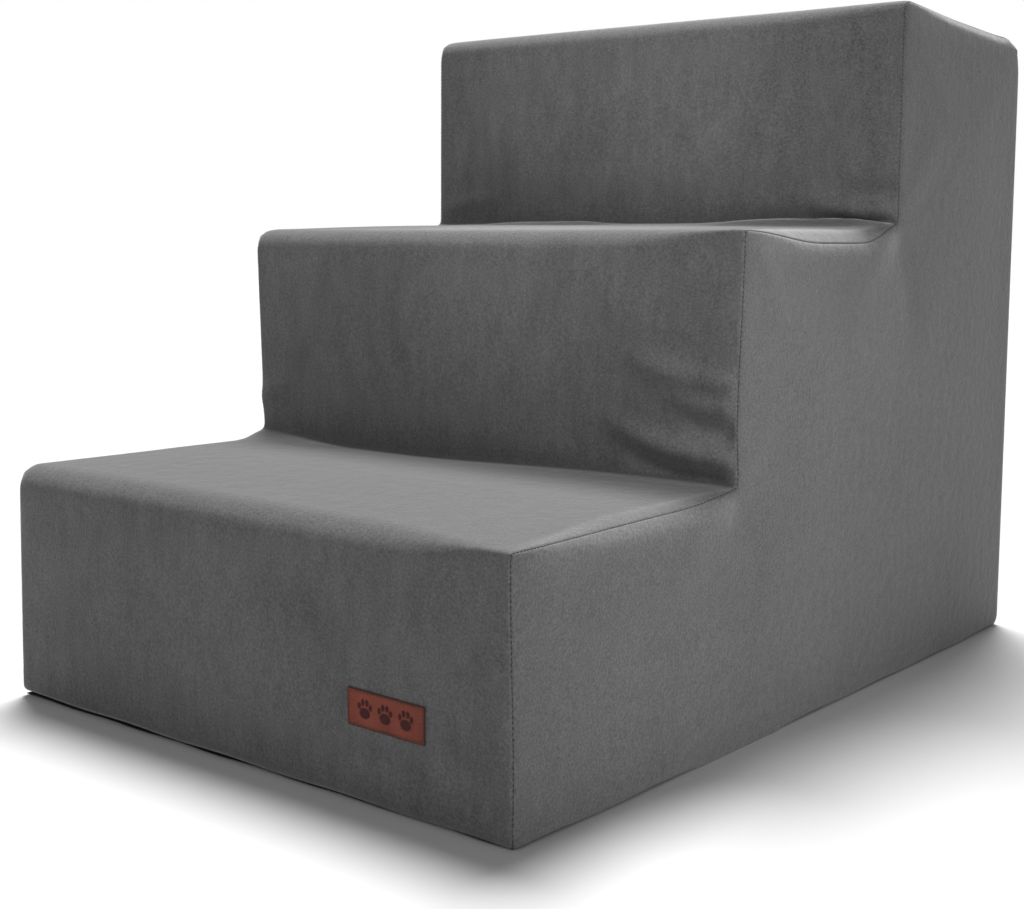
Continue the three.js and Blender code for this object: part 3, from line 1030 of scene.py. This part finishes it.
def paw_marks(x, z):
    """How far a place is pressed in by the paw marks, from 0 to 1."""
    inside = np.full(x.shape, -1.0)
    for centre in PAWS:
        for px, pz, rx, rz in PAW_PADS:
            away = np.hypot(((x - centre) / MM - px) / rx, (z / MM - pz) / rz)
            inside = np.maximum(inside, (1 - away) * min(rx, rz))
    return smooth(inside / 0.35 + 0.5)


def surface_at(piece, x, z):
    """Where a line from the front meets the cover at (x, z)."""
    depth = np.empty(len(x))
    for i, (px, pz) in enumerate(zip(x, z)):
        hit, at, _, _ = piece.ray_cast(Vector((px, FRONT - 0.05, pz)), Vector((0, 1, 0)))
        depth[i] = at[1] if hit else FRONT
    return depth


class STAIRS_OT_label(bpy.types.Operator):
    """Sews the pressed imitation-leather label on the front"""

    bl_idname = "stairs.label"
    bl_label = "Label"

    def execute(self, context):
        low, high = LABEL_BOX
        centre = np.array([(low[0] + high[0]) / 2, (low[2] + high[2]) / 2])
        size = np.array([high[0] - low[0], high[2] - low[2]])
        cover = bpy.data.objects["velvet_strip"]
        turn = math.radians(-1.0)
        ways = np.array([[math.cos(turn), math.sin(turn)], [-math.sin(turn), math.cos(turn)]])
        unpick()
        bpy.ops.mesh.primitive_grid_add(x_subdivisions=132, y_subdivisions=54, size=1)
        label = bpy.context.object
        flat = coordinates(label.data)[:, :2] * size
        cut = np.maximum(abs(flat[:, 0]) - size[0] / 2, abs(flat[:, 1]) - size[1] / 2)
        corner = 0.6 * MM
        reach = size / 2 - corner
        over = np.maximum(abs(flat) - reach, 0)
        far = np.linalg.norm(over, axis=1)
        square = over.max(axis=1)
        round_off = np.where(far > 1e-9, square / np.maximum(far, 1e-9), 1)
        flat = np.sign(flat) * (np.minimum(abs(flat), reach) + over * round_off[:, None])
        place = flat @ ways + centre
        seam = abs(cut + 1.3 * MM)
        rise = 1.1 * MM - 0.28 * MM * np.exp(-((seam / (0.42 * MM)) ** 2))
        rise -= 0.30 * MM * smooth((cut + 0.9 * MM) / (0.9 * MM)) ** 2
        mark = paw_marks(flat[:, 0], flat[:, 1])
        rise -= 0.30 * MM * mark
        rise += 0.10 * MM * np.sin(flat[:, 0] * 260 + 1) * np.sin(flat[:, 1] * 210)
        depth = surface_at(cover, place[:, 0], place[:, 1])
        points = np.stack([place[:, 0], depth - rise, place[:, 1]], axis=1)
        move_to(label.data, points)
        pick(label)
        bpy.ops.object.mode_set(mode="EDIT")
        bpy.ops.mesh.select_all(action="SELECT")
        bpy.ops.mesh.normals_make_consistent(inside=False)
        bpy.ops.object.mode_set(mode="OBJECT")
        if point_normals(label.data)[:, 1].mean() > 0:
            label.data.flip_normals()
        burnt = 0.85 * smooth((cut + 1.05 * MM) / (0.7 * MM))
        for name, value in (("mark", mark), ("burnt", burnt)):
            stain = label.data.attributes.new(name, "FLOAT", "POINT")
            stain.data.foreach_set("value", value)
        apply_modifier(label, "SOLIDIFY", thickness=0.75 * MM, offset=-1.0)
        label.name = label.data.name = "leather_label"
        smooth_by_angle(label, 50)
        finish_piece(label, leather(), "label_leather", "label")

        sizes = context.scene.stitch_sizes
        a, b = size / 2 - 1.3 * MM
        ring = [(-a, -b), (a, -b), (a, b), (-a, b)]
        places, along = [], []
        for p, q in zip(ring, ring[1:] + ring[:1]):
            p, q = np.array(p), np.array(q)
            count = round(np.linalg.norm(q - p) / sizes.label_pitch)
            for i in range(count):
                places.append((p + (q - p) * (i + 0.5) / count) @ ways + centre)
                along.append((q - p) @ ways)
        places, along = np.array(places), np.array(along)
        depth = surface_at(cover, places[:, 0], places[:, 1]) - 1.0 * MM
        places = np.stack([places[:, 0], depth, places[:, 1]], axis=1)
        along = np.stack([along[:, 0], np.zeros(len(along)), along[:, 1]], axis=1)
        front = np.tile((0.0, -1.0, 0.0), (len(places), 1))
        pattern = stitch_pattern(0.8 * sizes.label_pitch, sizes.label_thread)
        stitches = copies("label_stitches", pattern, places, along, front)
        finish_piece(stitches, label_thread(), "seam_thread", "label_stitching")
        return {"FINISHED"}


# ------------------------------------------------------------------ zip


def zip_line(offset, top, step=3 * MM):
    """The zip's U on the back, `offset` out from its centreline, from left to right."""
    half, low = ZIP_X - ZIP_CORNER, ZIP_INSET + ZIP_CORNER
    radius = ZIP_CORNER + offset
    turns = max(3, round(radius * math.pi / 2 / step))
    line = [(-half - radius, z) for z in np.linspace(top, low, round((top - low) / step))]
    for i in range(1, turns):
        angle = math.pi / 2 * i / turns
        line.append((-half - radius * math.cos(angle), low - radius * math.sin(angle)))
    line += [(x, low - radius) for x in np.linspace(-half, half, round(2 * half / step))]
    line += [(-x, z) for x, z in reversed(line[:len(line) - round(2 * half / step)])]
    return np.array([(x, ZIP_PLANE, z) for x, z in line])


def swept(name, offsets, lifts, top):
    """A band along the zip's U, with one row of points for each offset."""
    lines = [zip_line(offset, top) for offset in offsets]
    count = min(len(line) for line in lines)
    rows = []
    for line, lift in zip(lines, lifts):
        places = np.linspace(0, len(line) - 1, count)
        row = np.stack([np.interp(places, range(len(line)), line[:, i]) for i in range(3)], 1)
        row[:, 1] += lift
        rows.append(row)
    points = np.array(rows)
    faces = [
        (r * count + c, (r + 1) * count + c, (r + 1) * count + c + 1, r * count + c + 1)
        for r in range(len(rows) - 1) for c in range(count - 1)]
    return new_mesh(name, points.reshape(-1, 3), faces)


class STAIRS_OT_zip_tapes(bpy.types.Operator):
    """Weaves the two zip tapes and their stitched rows on the velvet"""

    bl_idname = "stairs.zip_tapes"
    bl_label = "Zip tapes"

    def execute(self, context):
        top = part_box("zip_tape_inner")[1][2]
        coil_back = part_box("zip_coil_inner")[0][1] - ZIP_PLANE - 0.15 * MM
        for name, side in (("inner", -1), ("outer", 1)):
            offsets = np.array([0.12, 1.5, 2.95, 3.2, 3.5, 5, 7, 9, 11, 12.6]) * MM * side
            lifts = [coil_back] * 3 + [0.25 * coil_back, 0, 0, -0.05 * MM, 0, -0.05 * MM, 0]
            tape = swept("tape_" + name, offsets, lifts, top)
            if point_normals(tape.data)[:, 1].mean() < 0:
                tape.data.flip_normals()
            apply_modifier(tape, "SOLIDIFY", thickness=0.25 * MM, offset=0.0)
            smooth_by_angle(tape, 40)
            finish_piece(tape, zip_tape(), "zip_tape", "zip_tape_" + name)

            sizes = context.scene.stitch_sizes
            gap = context_zip_gap() + 2.4 * MM
            line = zip_line(gap * side, ZIP_TOP + 6 * MM)
            line[:, 1] = BACK + 0.28 * MM
            back = np.tile((0.0, 1.0, 0.0), (len(line), 1))
            places, ways, ups = spread_along(line, sizes.zip_pitch, back)
            pattern = stitch_pattern(0.82 * sizes.zip_pitch, 0.55 * MM)
            row = copies("zip_stitches_" + name, pattern, places, ways, ups)
            finish_piece(row, zip_thread(), "zip_thread", "zip_stitching_" + name)
        return {"FINISHED"}


class STAIRS_OT_zip_coils(bpy.types.Operator):
    """Winds the two nylon coils"""

    bl_idname = "stairs.zip_coils"
    bl_label = "Zip coils"

    def execute(self, context):
        sizes = context.scene.zip_sizes
        low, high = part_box("zip_coil_outer")
        width = high[0] - ZIP_X - 0.7 * MM
        tall = high[1] - low[1]
        unpick()
        bpy.ops.mesh.primitive_torus_add(
            major_segments=9, minor_segments=5, major_radius=1.0, minor_radius=0.25,
            rotation=(0, math.pi / 2, 0))
        loop = bpy.context.object
        apply_place(loop)
        points = coordinates(loop.data)
        rim = points[:, 1:] / np.linalg.norm(points[:, 1:], axis=1)[:, None]
        wire = np.linalg.norm(points[:, 1:], axis=1) - 1.0
        half = np.array([width, tall]) / 2 - 0.5 * sizes.wire
        thick = 2 * sizes.wire
        points[:, 1:] = rim * half + rim * (wire * thick)[:, None]
        points[:, 0] = points[:, 0] * thick + 0.22 * points[:, 1]
        move_to(loop.data, points)
        pattern = take_pattern(loop)
        middle = 0.7 * MM + width / 2
        for name, side in (("inner", -1), ("outer", 1)):
            line = zip_line(middle * side, ZIP_TOP - 0.6 * MM)
            back = np.tile((0.0, 1.0, 0.0), (len(line), 1))
            places, ways, ups = spread_along(line, sizes.pitch, back)
            coil = copies("coil_" + name, pattern, places, ways, ups)
            finish_piece(coil, zip_coil(), "zip_coil", "zip_coil_" + name)
        return {"FINISHED"}


class STAIRS_OT_zip_hardware(bpy.types.Operator):
    """Rounds the edges of the slider, the pull and the stops"""

    bl_idname = "stairs.zip_hardware"
    bl_label = "Slider, pull and stops"

    def execute(self, context):
        nodes = {
            "zip_slider": ("slider_body", "slider"), "zip_pull": ("pull_tab", "pull"),
            "zip_top_stop_inner": ("top_stop_inner", "cover"),
            "zip_top_stop_outer": ("top_stop_outer", "cover"),
            "zip_bottom_stop": ("bottom_stop", "cover"),
        }
        for node, (name, body) in nodes.items():
            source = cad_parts[node]
            shape = source.data.copy()
            shape.transform(source.matrix_world)
            piece = bpy.data.objects.new(name, shape)
            shape.name = name
            context.scene.collection.objects.link(piece)
            pick(piece)
            bpy.ops.object.mode_set(mode="EDIT")
            bpy.ops.mesh.select_all(action="SELECT")
            bpy.ops.mesh.remove_doubles(threshold=0.01 * MM)
            bpy.ops.mesh.dissolve_limited(angle_limit=math.radians(2))
            bpy.ops.object.mode_set(mode="OBJECT")
            apply_modifier(
                piece, "BEVEL", width=context.scene.zip_sizes.bevel, segments=2,
                limit_method="ANGLE", angle_limit=math.radians(30))
            smooth_by_angle(piece, 35)
            finish_piece(piece, zip_metal(), "zip_metal", node, body=body)
        return {"FINISHED"}


# ------------------------------------------------------------------ shared effects


def add_node(tree, kind, inputs=None, **settings):
    """Adds a shader node, sets it, and links or sets its inputs."""
    made = tree.nodes.new("ShaderNode" + kind)
    for name, value in settings.items():
        setattr(made, name, value)
    for name, value in (inputs or {}).items():
        if isinstance(value, bpy.types.NodeSocket):
            tree.links.new(value, made.inputs[name])
        else:
            made.inputs[name].default_value = value
    return made


def math_node(tree, operation, a, b=0.0):
    return add_node(tree, "Math", {0: a, 1: b}, operation=operation).outputs[0]


def stretched(tree, vector, scale):
    """A vector times a scale of its own on each axis."""
    return add_node(tree, "VectorMath", {0: vector, 1: scale}, operation="MULTIPLY").outputs[0]


def noise(tree, vector, scale, detail=3.0, roughness=0.55):
    made = add_node(tree, "TexNoise", {
        "Vector": vector, "Scale": scale, "Detail": detail, "Roughness": roughness})
    return made.outputs["Fac"]


def spread(tree, value, low, high, to_low=0.0, to_high=1.0):
    return add_node(tree, "MapRange", {
        "Value": value, "From Min": low, "From Max": high,
        "To Min": to_low, "To Max": to_high}).outputs["Result"]


def mixed(tree, factor, a, b):
    """One colour turning into another as the factor goes from 0 to 1."""
    made = tree.nodes.new("ShaderNodeMix")
    made.data_type = "RGBA"
    for socket, value in zip((made.inputs[0], made.inputs[6], made.inputs[7]), (factor, a, b)):
        if isinstance(value, bpy.types.NodeSocket):
            tree.links.new(value, socket)
        else:
            socket.default_value = value
    return made.outputs[2]


def brightened(tree, colour, factor):
    """A colour times a number that changes over the surface."""
    made = add_node(tree, "VectorMath", {0: colour, "Scale": factor}, operation="SCALE")
    return made.outputs[0]


def effect(name, inputs, outputs):
    """A new node group with these sockets, and its own input and output nodes."""
    group = bpy.data.node_groups.new(name, "ShaderNodeTree")
    kinds = {"c": "NodeSocketColor", "f": "NodeSocketFloat", "v": "NodeSocketVector"}
    for label, (kind, value) in inputs.items():
        socket = group.interface.new_socket(label, in_out="INPUT", socket_type=kinds[kind])
        if value is not None:
            socket.default_value = value
    for label, kind in outputs.items():
        group.interface.new_socket(label, in_out="OUTPUT", socket_type=kinds[kind])
    return group, group.nodes.new("NodeGroupInput").outputs, group.nodes.new("NodeGroupOutput")


def pile_effect():
    """Napped cloth: brushed patches, fine rows of pile and single fibres, and painted shade and
    highlight that scale the colour.
    """
    if "Pile" in bpy.data.node_groups:
        return bpy.data.node_groups["Pile"]
    tree, given, out = effect(
        "Pile",
        {"Vector": ("v", None), "Rows": ("v", (1, 1, 1)), "Colour": ("c", None),
         "Brushing": ("f", 0.2), "Lint": ("f", 0.1), "Painted shading": ("f", 0.0)},
        {"Colour": "c", "Roughness": "f", "Height": "f"})
    vector = given["Vector"]
    rows = add_node(
        tree, "VectorMath", {0: vector, 1: given["Rows"]}, operation="MULTIPLY").outputs[0]
    swirl = add_node(tree, "TexNoise", {"Vector": vector, "Scale": 7.0, "Detail": 1.0})
    bent = add_node(tree, "VectorMath", {0: swirl.outputs["Color"], "Scale": 0.10},
                    operation="SCALE").outputs[0]
    bent = add_node(tree, "VectorMath", {0: vector, 1: bent}, operation="ADD").outputs[0]
    patches = spread(tree, noise(tree, bent, 9.0, 2.0), 0.3, 0.7, -1.0, 1.0)
    strokes = spread(tree, noise(tree, rows, 75.0, 3.0, 0.6), 0.3, 0.7, -1.0, 1.0)
    threads = spread(tree, noise(tree, rows, 260.0, 2.0, 0.6), 0.3, 0.7, -1.0, 1.0)
    fibres = spread(tree, noise(tree, vector, 720.0, 1.5, 0.7), 0.28, 0.72, -1.0, 1.0)
    specks = spread(tree, noise(tree, vector, 950.0, 1.0), 0.66, 0.80)
    brushed = math_node(tree, "ADD", math_node(tree, "MULTIPLY", patches, 0.38),
                        math_node(tree, "MULTIPLY", strokes, 0.40))
    brushed = math_node(tree, "ADD", brushed, math_node(tree, "MULTIPLY", threads, 0.22))
    factor = math_node(tree, "MULTIPLY", brushed, given["Brushing"])
    factor = math_node(tree, "ADD", factor, math_node(tree, "MULTIPLY", fibres, 0.28))
    factor = math_node(tree, "ADD", factor, math_node(tree, "MULTIPLY", specks, given["Lint"]))
    # Painted shade and highlight: the cover's mask scales the colour from about half to one and a half
    # times.
    factor = math_node(tree, "MULTIPLY", math_node(tree, "ADD", factor, 1.0),
                       spread(tree, given["Painted shading"], -0.5, 0.5, 0.48, 1.52))
    colour = brightened(tree, given["Colour"], factor)
    tree.links.new(colour, out.inputs["Colour"])
    tree.links.new(spread(tree, brushed, -1.0, 1.0, 0.72, 0.95), out.inputs["Roughness"])
    height = math_node(tree, "ADD", math_node(tree, "MULTIPLY", fibres, 0.5),
                       math_node(tree, "MULTIPLY", strokes, 0.8))
    tree.links.new(height, out.inputs["Height"])
    return tree


def weave_effect():
    """Woven or twisted threads: two sets of diagonal ribs and a little unevenness."""
    if "Weave" in bpy.data.node_groups:
        return bpy.data.node_groups["Weave"]
    tree, given, out = effect(
        "Weave",
        {"Vector": ("v", None), "Pitch": ("f", 1.0), "Slant": ("v", (1, 0, 1)),
         "Other slant": ("v", (1, 0, -1)), "Colour": ("c", None), "Shade": ("f", 0.35)},
        {"Colour": "c", "Roughness": "f", "Height": "f"})
    ribs = []
    for slant in ("Slant", "Other slant"):
        along = add_node(tree, "VectorMath", {0: given["Vector"], 1: given[slant]},
                         operation="DOT_PRODUCT").outputs["Value"]
        turns = math_node(tree, "DIVIDE", along, given["Pitch"])
        wave = math_node(tree, "SINE", math_node(tree, "MULTIPLY", turns, 2 * math.pi))
        ribs.append(math_node(tree, "MULTIPLY", math_node(tree, "ADD", wave, 1.0), 0.5))
    over = math_node(tree, "MAXIMUM", ribs[0], math_node(tree, "MULTIPLY", ribs[1], 0.8))
    uneven = noise(tree, given["Vector"], 420.0, 2.0)
    height = math_node(tree, "ADD", over, math_node(tree, "MULTIPLY", uneven, 0.5))
    factor = math_node(tree, "MULTIPLY", math_node(tree, "SUBTRACT", height, 0.75),
                       given["Shade"])
    colour = brightened(tree, given["Colour"], math_node(tree, "ADD", factor, 1.0))
    tree.links.new(colour, out.inputs["Colour"])
    tree.links.new(spread(tree, height, 0.0, 1.5, 0.85, 0.6), out.inputs["Roughness"])
    tree.links.new(height, out.inputs["Height"])
    return tree


def grain_effect():
    """Pebbled cells, for leather, rubber and cut foam."""
    if "Grain" in bpy.data.node_groups:
        return bpy.data.node_groups["Grain"]
    tree, given, out = effect(
        "Grain",
        {"Vector": ("v", None), "Cells": ("f", 900.0), "Colour": ("c", None),
         "Shade": ("f", 0.2), "Stain": ("f", 0.1)},
        {"Colour": "c", "Crease": "f", "Height": "f"})
    cells = add_node(tree, "TexVoronoi", {"Vector": given["Vector"], "Scale": given["Cells"]},
                     feature="DISTANCE_TO_EDGE").outputs["Distance"]
    crease = spread(tree, cells, 0.0, 0.22)
    stains = spread(tree, noise(tree, given["Vector"], 60.0, 4.0), 0.3, 0.7, -1.0, 1.0)
    fine = noise(tree, given["Vector"], 2200.0, 2.0)
    height = math_node(tree, "ADD", crease, math_node(tree, "MULTIPLY", fine, 0.4))
    factor = math_node(tree, "MULTIPLY", math_node(tree, "SUBTRACT", crease, 1.0),
                       given["Shade"])
    factor = math_node(tree, "ADD", factor,
                       math_node(tree, "MULTIPLY", stains, given["Stain"]))
    colour = brightened(tree, given["Colour"], math_node(tree, "ADD", factor, 1.0))
    tree.links.new(colour, out.inputs["Colour"])
    tree.links.new(crease, out.inputs["Crease"])
    tree.links.new(height, out.inputs["Height"])
    return tree


def wear_effect():
    """Fine scratches and rubbed patches, for metal and hard plastic."""
    if "Wear" in bpy.data.node_groups:
        return bpy.data.node_groups["Wear"]
    tree, given, out = effect(
        "Wear",
        {"Vector": ("v", None), "Colour": ("c", None), "Rubbed": ("c", None)},
        {"Colour": "c", "Roughness": "f", "Height": "f"})
    patches = spread(tree, noise(tree, given["Vector"], 240.0, 4.0), 0.45, 0.65)
    scratched = noise(tree, stretched(tree, given["Vector"], (3000, 3000, 260)), 1.0, 2.0)
    lines = spread(tree, scratched, 0.58, 0.68)
    rubbed = math_node(tree, "MAXIMUM", math_node(tree, "MULTIPLY", patches, 0.6), lines)
    colour = mixed(tree, rubbed, given["Colour"], given["Rubbed"])
    tree.links.new(colour, out.inputs["Colour"])
    tree.links.new(spread(tree, rubbed, 0.0, 1.0, 0.30, 0.48), out.inputs["Roughness"])
    tree.links.new(scratched, out.inputs["Height"])
    return tree


# ------------------------------------------------------------------ finishes


def rgba(colour):
    return (*colour, 1.0)


def finish_material(name, group, values, bump, **shader_values):
    """A material whose colour, roughness and bump come from a shared effect."""
    if name in bpy.data.materials:
        return bpy.data.materials[name]
    material = bpy.data.materials.new(name)
    material.use_nodes = True
    tree = material.node_tree
    shader = tree.nodes["Principled BSDF"]
    place = add_node(tree, "TexCoord").outputs["Object"]
    used = add_node(tree, "Group", node_tree=group)
    tree.links.new(place, used.inputs["Vector"])
    for label, value in values.items():
        used.inputs[label].default_value = value
    tree.links.new(used.outputs["Colour"], shader.inputs["Base Color"])
    if "Roughness" in used.outputs:
        tree.links.new(used.outputs["Roughness"], shader.inputs["Roughness"])
    raised = add_node(tree, "Bump", {
        "Height": used.outputs["Height"], "Strength": bump[0], "Distance": bump[1]})
    tree.links.new(raised.outputs["Normal"], shader.inputs["Normal"])
    for label, value in shader_values.items():
        shader.inputs[label.replace("_", " ")].default_value = value
    return material


def velvet(name):
    """Brushed velvet: rows of pile run across the steps and down the sides."""
    rows, brushing = {
        "velvet_strip": ((1, 0.8, 0.35), 0.30), "velvet_side": ((1.7, 1.7, 1.7), 0.18),
        "velvet_back": ((1, 1, 0.35), 0.30)}[name]
    colours = bpy.context.scene.stair_colours
    new = name not in bpy.data.materials
    material = finish_material(
        name, pile_effect(),
        {"Rows": rows, "Colour": rgba(colours.velvet), "Brushing": brushing, "Lint": 0.25},
        (0.5, 0.25 * MM), Sheen_Weight=1.0, Sheen_Roughness=0.36,
        Sheen_Tint=rgba(colours.velvet_sheen), Specular_IOR_Level=0.12)
    if new:
        tree = material.node_tree
        group = next(node for node in tree.nodes if node.type == "GROUP")
        # Painted shade and highlight from the cover's mask lighten and darken the pile's colour.
        painted_light = add_node(tree, "Attribute", attribute_name="nap").outputs["Fac"]
        steep = add_node(tree, "Attribute", attribute_name="steep").outputs["Fac"]
        tree.links.new(painted_light, group.inputs["Painted shading"])
        tree.links.new(
            spread(tree, steep, 0.0, 1.0, 0.4 * brushing, brushing), group.inputs["Brushing"])
    return material


def thread():
    return finish_material(
        "side_seam_thread", weave_effect(),
        {"Pitch": 0.35 * MM, "Slant": (0.5, 0.5, 1), "Other slant": (-0.5, 0.5, 1),
         "Colour": (0.006, 0.006, 0.0065, 1), "Shade": 0.5},
        (0.5, 0.08 * MM), Sheen_Weight=0.2, Specular_IOR_Level=0.3)


def label_thread():
    return finish_material(
        "brown_thread", weave_effect(),
        {"Pitch": 0.3 * MM, "Slant": (0.7, 0, 0.7), "Other slant": (-0.7, 0, 0.7),
         "Colour": (0.045, 0.018, 0.013, 1), "Shade": 0.5},
        (0.5, 0.08 * MM), Sheen_Weight=0.2, Specular_IOR_Level=0.3)


def zip_thread():
    return finish_material(
        "zip_row_thread", weave_effect(),
        {"Pitch": 0.35 * MM, "Slant": (0.7, 0, 0.7), "Other slant": (-0.7, 0, 0.7),
         "Colour": (0.03, 0.03, 0.031, 1), "Shade": 0.5},
        (0.5, 0.08 * MM), Sheen_Weight=0.2, Specular_IOR_Level=0.3)


def zip_tape():
    return finish_material(
        "woven_tape", weave_effect(),
        {"Pitch": 0.9 * MM, "Slant": (1, 0, 1), "Other slant": (1, 0, -1),
         "Colour": (0.022, 0.022, 0.023, 1), "Shade": 0.8},
        (0.6, 0.15 * MM), Sheen_Weight=0.25, Specular_IOR_Level=0.25)


def grip_cloth():
    return finish_material(
        "anti_slip_weave", weave_effect(),
        {"Pitch": 1.1 * MM, "Slant": (1, 0, 0), "Other slant": (0, 1, 0),
         "Colour": (0.012, 0.012, 0.013, 1), "Shade": 0.8},
        (0.6, 0.15 * MM), Specular_IOR_Level=0.25)


def grip_rubber():
    return finish_material(
        "rubber_dots", grain_effect(),
        {"Cells": 1500.0, "Colour": (0.016, 0.016, 0.017, 1), "Shade": 0.3, "Stain": 0.3},
        (0.4, 0.05 * MM), Roughness=0.5, Specular_IOR_Level=0.5)


def foam():
    return finish_material(
        "cut_foam", grain_effect(),
        {"Cells": 420.0, "Colour": rgba(bpy.context.scene.stair_colours.foam),
         "Shade": 0.4, "Stain": 0.06},
        (0.8, 0.8 * MM), Roughness=0.95, Specular_IOR_Level=0.1)


def zip_coil():
    return finish_material(
        "zip_nylon", wear_effect(),
        {"Colour": (0.020, 0.020, 0.021, 1), "Rubbed": (0.05, 0.05, 0.052, 1)},
        (0.3, 0.05 * MM), Specular_IOR_Level=0.5)


def zip_metal():
    return finish_material(
        "zip_gunmetal", wear_effect(),
        {"Colour": (0.20, 0.20, 0.21, 1), "Rubbed": (0.42, 0.41, 0.40, 1)},
        (0.25, 0.04 * MM), Metallic=1.0)


def leather():
    """Imitation leather whose mark is pressed dark."""
    colours = bpy.context.scene.stair_colours
    material = finish_material(
        "pressed_leather", grain_effect(),
        {"Cells": 1100.0, "Colour": rgba(colours.leather), "Shade": 0.28, "Stain": 0.16},
        (0.45, 0.12 * MM), Roughness=0.6, Specular_IOR_Level=0.2)
    tree = material.node_tree
    shader = tree.nodes["Principled BSDF"]
    mark = add_node(tree, "Attribute", attribute_name="mark").outputs["Fac"]
    burnt = add_node(tree, "Attribute", attribute_name="burnt").outputs["Fac"]
    plain = shader.inputs["Base Color"].links[0].from_socket
    stained = mixed(tree, mark, plain, rgba(colours.print))
    edged = mixed(tree, burnt, stained, (0.030, 0.010, 0.008, 1))
    tree.links.new(edged, shader.inputs["Base Color"])
    return material


# ------------------------------------------------------------------ stage

AMBIENT = 0.19
LAMPS = {  # power, angular width, tilt from straight down, heading that it comes from
    "overhead": (6.0, 24, 22, 218),
    "side": (0.60, 60, 82, 80),
    "front": (0.60, 50, 66, 5),
}
SPOTS = {  # power, cone, place, target
    "upper_front": (34, 22, (0.0, -1.15, 0.32), (0.04, FRONT + 2 * TREAD, 2.9 * RISER)),
    "riser": (1.8, 34, (0.30, -0.42, 0.72), (0.13, FRONT + TREAD, 1.4 * RISER)),
    "low_side": (48, 36, (1.35, -0.40, 0.06), (SIDE, -0.08, 0.13)),
}
CAMERA_PLACE = (0.6521, -0.8737, 0.2934)
CAMERA_ANGLES = (-39.282, -5.393, 0.528)  # yaw, pitch and roll
CAMERA_LENS = 55.581
CAMERA_SHIFT = (0.0219, -0.067)


class STAIRS_OT_stage(bpy.types.Operator):
    """Sets up the white floor, the studio light and the camera"""

    bl_idname = "stairs.stage"
    bl_label = "Stage"

    def execute(self, context):
        scene = context.scene
        unpick()
        bpy.ops.mesh.primitive_circle_add(
            vertices=64, radius=60, fill_type="NGON", location=(0, 0, 0))
        floor = context.object
        floor.name = floor.data.name = "floor"
        paint = bpy.data.materials.new("white_floor")
        paint.use_nodes = True
        shader = paint.node_tree.nodes["Principled BSDF"]
        shader.inputs["Base Color"].default_value = (0.52, 0.52, 0.52, 1)
        shader.inputs["Roughness"].default_value = 0.9
        shader.inputs["Specular IOR Level"].default_value = 0.1
        floor.data.materials.append(paint)

        world = bpy.data.worlds.new("studio")
        scene.world = world
        world.use_nodes = True
        tree = world.node_tree
        seen = add_node(tree, "LightPath").outputs["Is Camera Ray"]
        tree.links.new(
            spread(tree, seen, 0.0, 1.0, AMBIENT, 1.0), tree.nodes["Background"].inputs["Strength"])
        tree.nodes["Background"].inputs["Color"].default_value = (1, 1, 1, 1)

        for name, (power, width, tilt, heading) in LAMPS.items():
            lamp = bpy.data.lights.new(name, "SUN")
            lamp.energy, lamp.angle = power, math.radians(width)
            holder = bpy.data.objects.new(name, lamp)
            holder.rotation_euler = (math.radians(tilt), 0, math.radians(heading))
            scene.collection.objects.link(holder)

        for name, (power, width, place, target) in SPOTS.items():
            glow = bpy.data.lights.new(name, "SPOT")
            glow.energy, glow.spot_size, glow.spot_blend = power, math.radians(width), 1.0
            glow.shadow_soft_size = 0.12
            holder = bpy.data.objects.new(name, glow)
            holder.location = place
            aim = Vector(target) - Vector(place)
            holder.rotation_euler = aim.to_track_quat("-Z", "Y").to_euler()
            scene.collection.objects.link(holder)

        lens = bpy.data.cameras.new("camera")
        camera = bpy.data.objects.new("camera", lens)
        scene.collection.objects.link(camera)
        yaw, pitch, roll = (math.radians(angle) for angle in CAMERA_ANGLES)
        ahead = Vector((
            math.sin(yaw) * math.cos(pitch), math.cos(yaw) * math.cos(pitch), math.sin(pitch)))
        turn = ahead.to_track_quat("-Z", "Y") @ Quaternion((0, 0, 1), roll)
        camera.location = CAMERA_PLACE
        camera.rotation_euler = turn.to_euler()
        lens.sensor_width, lens.lens = 36, CAMERA_LENS
        lens.shift_x, lens.shift_y = CAMERA_SHIFT
        scene.camera = camera
        scene.view_settings.view_transform = "Standard"
        return {"FINISHED"}


# ------------------------------------------------------------------ add-on


OPERATORS = (
    STAIRS_OT_foam, STAIRS_OT_cover, STAIRS_OT_seams, STAIRS_OT_bottom, STAIRS_OT_label,
    STAIRS_OT_zip_tapes, STAIRS_OT_zip_coils, STAIRS_OT_zip_hardware, STAIRS_OT_stage,
)


class STAIRS_PT_panel(bpy.types.Panel):
    """Lists the settings and the steps that build the stairs"""

    bl_idname = "STAIRS_PT_panel"
    bl_label = "Pet stairs"
    bl_space_type = "VIEW_3D"
    bl_region_type = "UI"
    bl_category = "Pet stairs"

    def draw(self, context):
        for name, group in SETTINGS.items():
            box = self.layout.box()
            for field in group.__annotations__:
                box.prop(getattr(context.scene, name), field)
        for operator in OPERATORS:
            self.layout.operator(operator.bl_idname)


def register():
    for cls in (*SETTINGS.values(), *OPERATORS, STAIRS_PT_panel):
        bpy.utils.register_class(cls)
    for name, group in SETTINGS.items():
        setattr(bpy.types.Scene, name, PointerProperty(type=group))


def unregister():
    for name in SETTINGS:
        delattr(bpy.types.Scene, name)
    for cls in reversed((*SETTINGS.values(), *OPERATORS, STAIRS_PT_panel)):
        bpy.utils.unregister_class(cls)


def main():
    register()
    for operator in OPERATORS:
        family, name = operator.bl_idname.split(".")
        getattr(getattr(bpy.ops, family), name)()


if __name__ == "__main__":
    main()
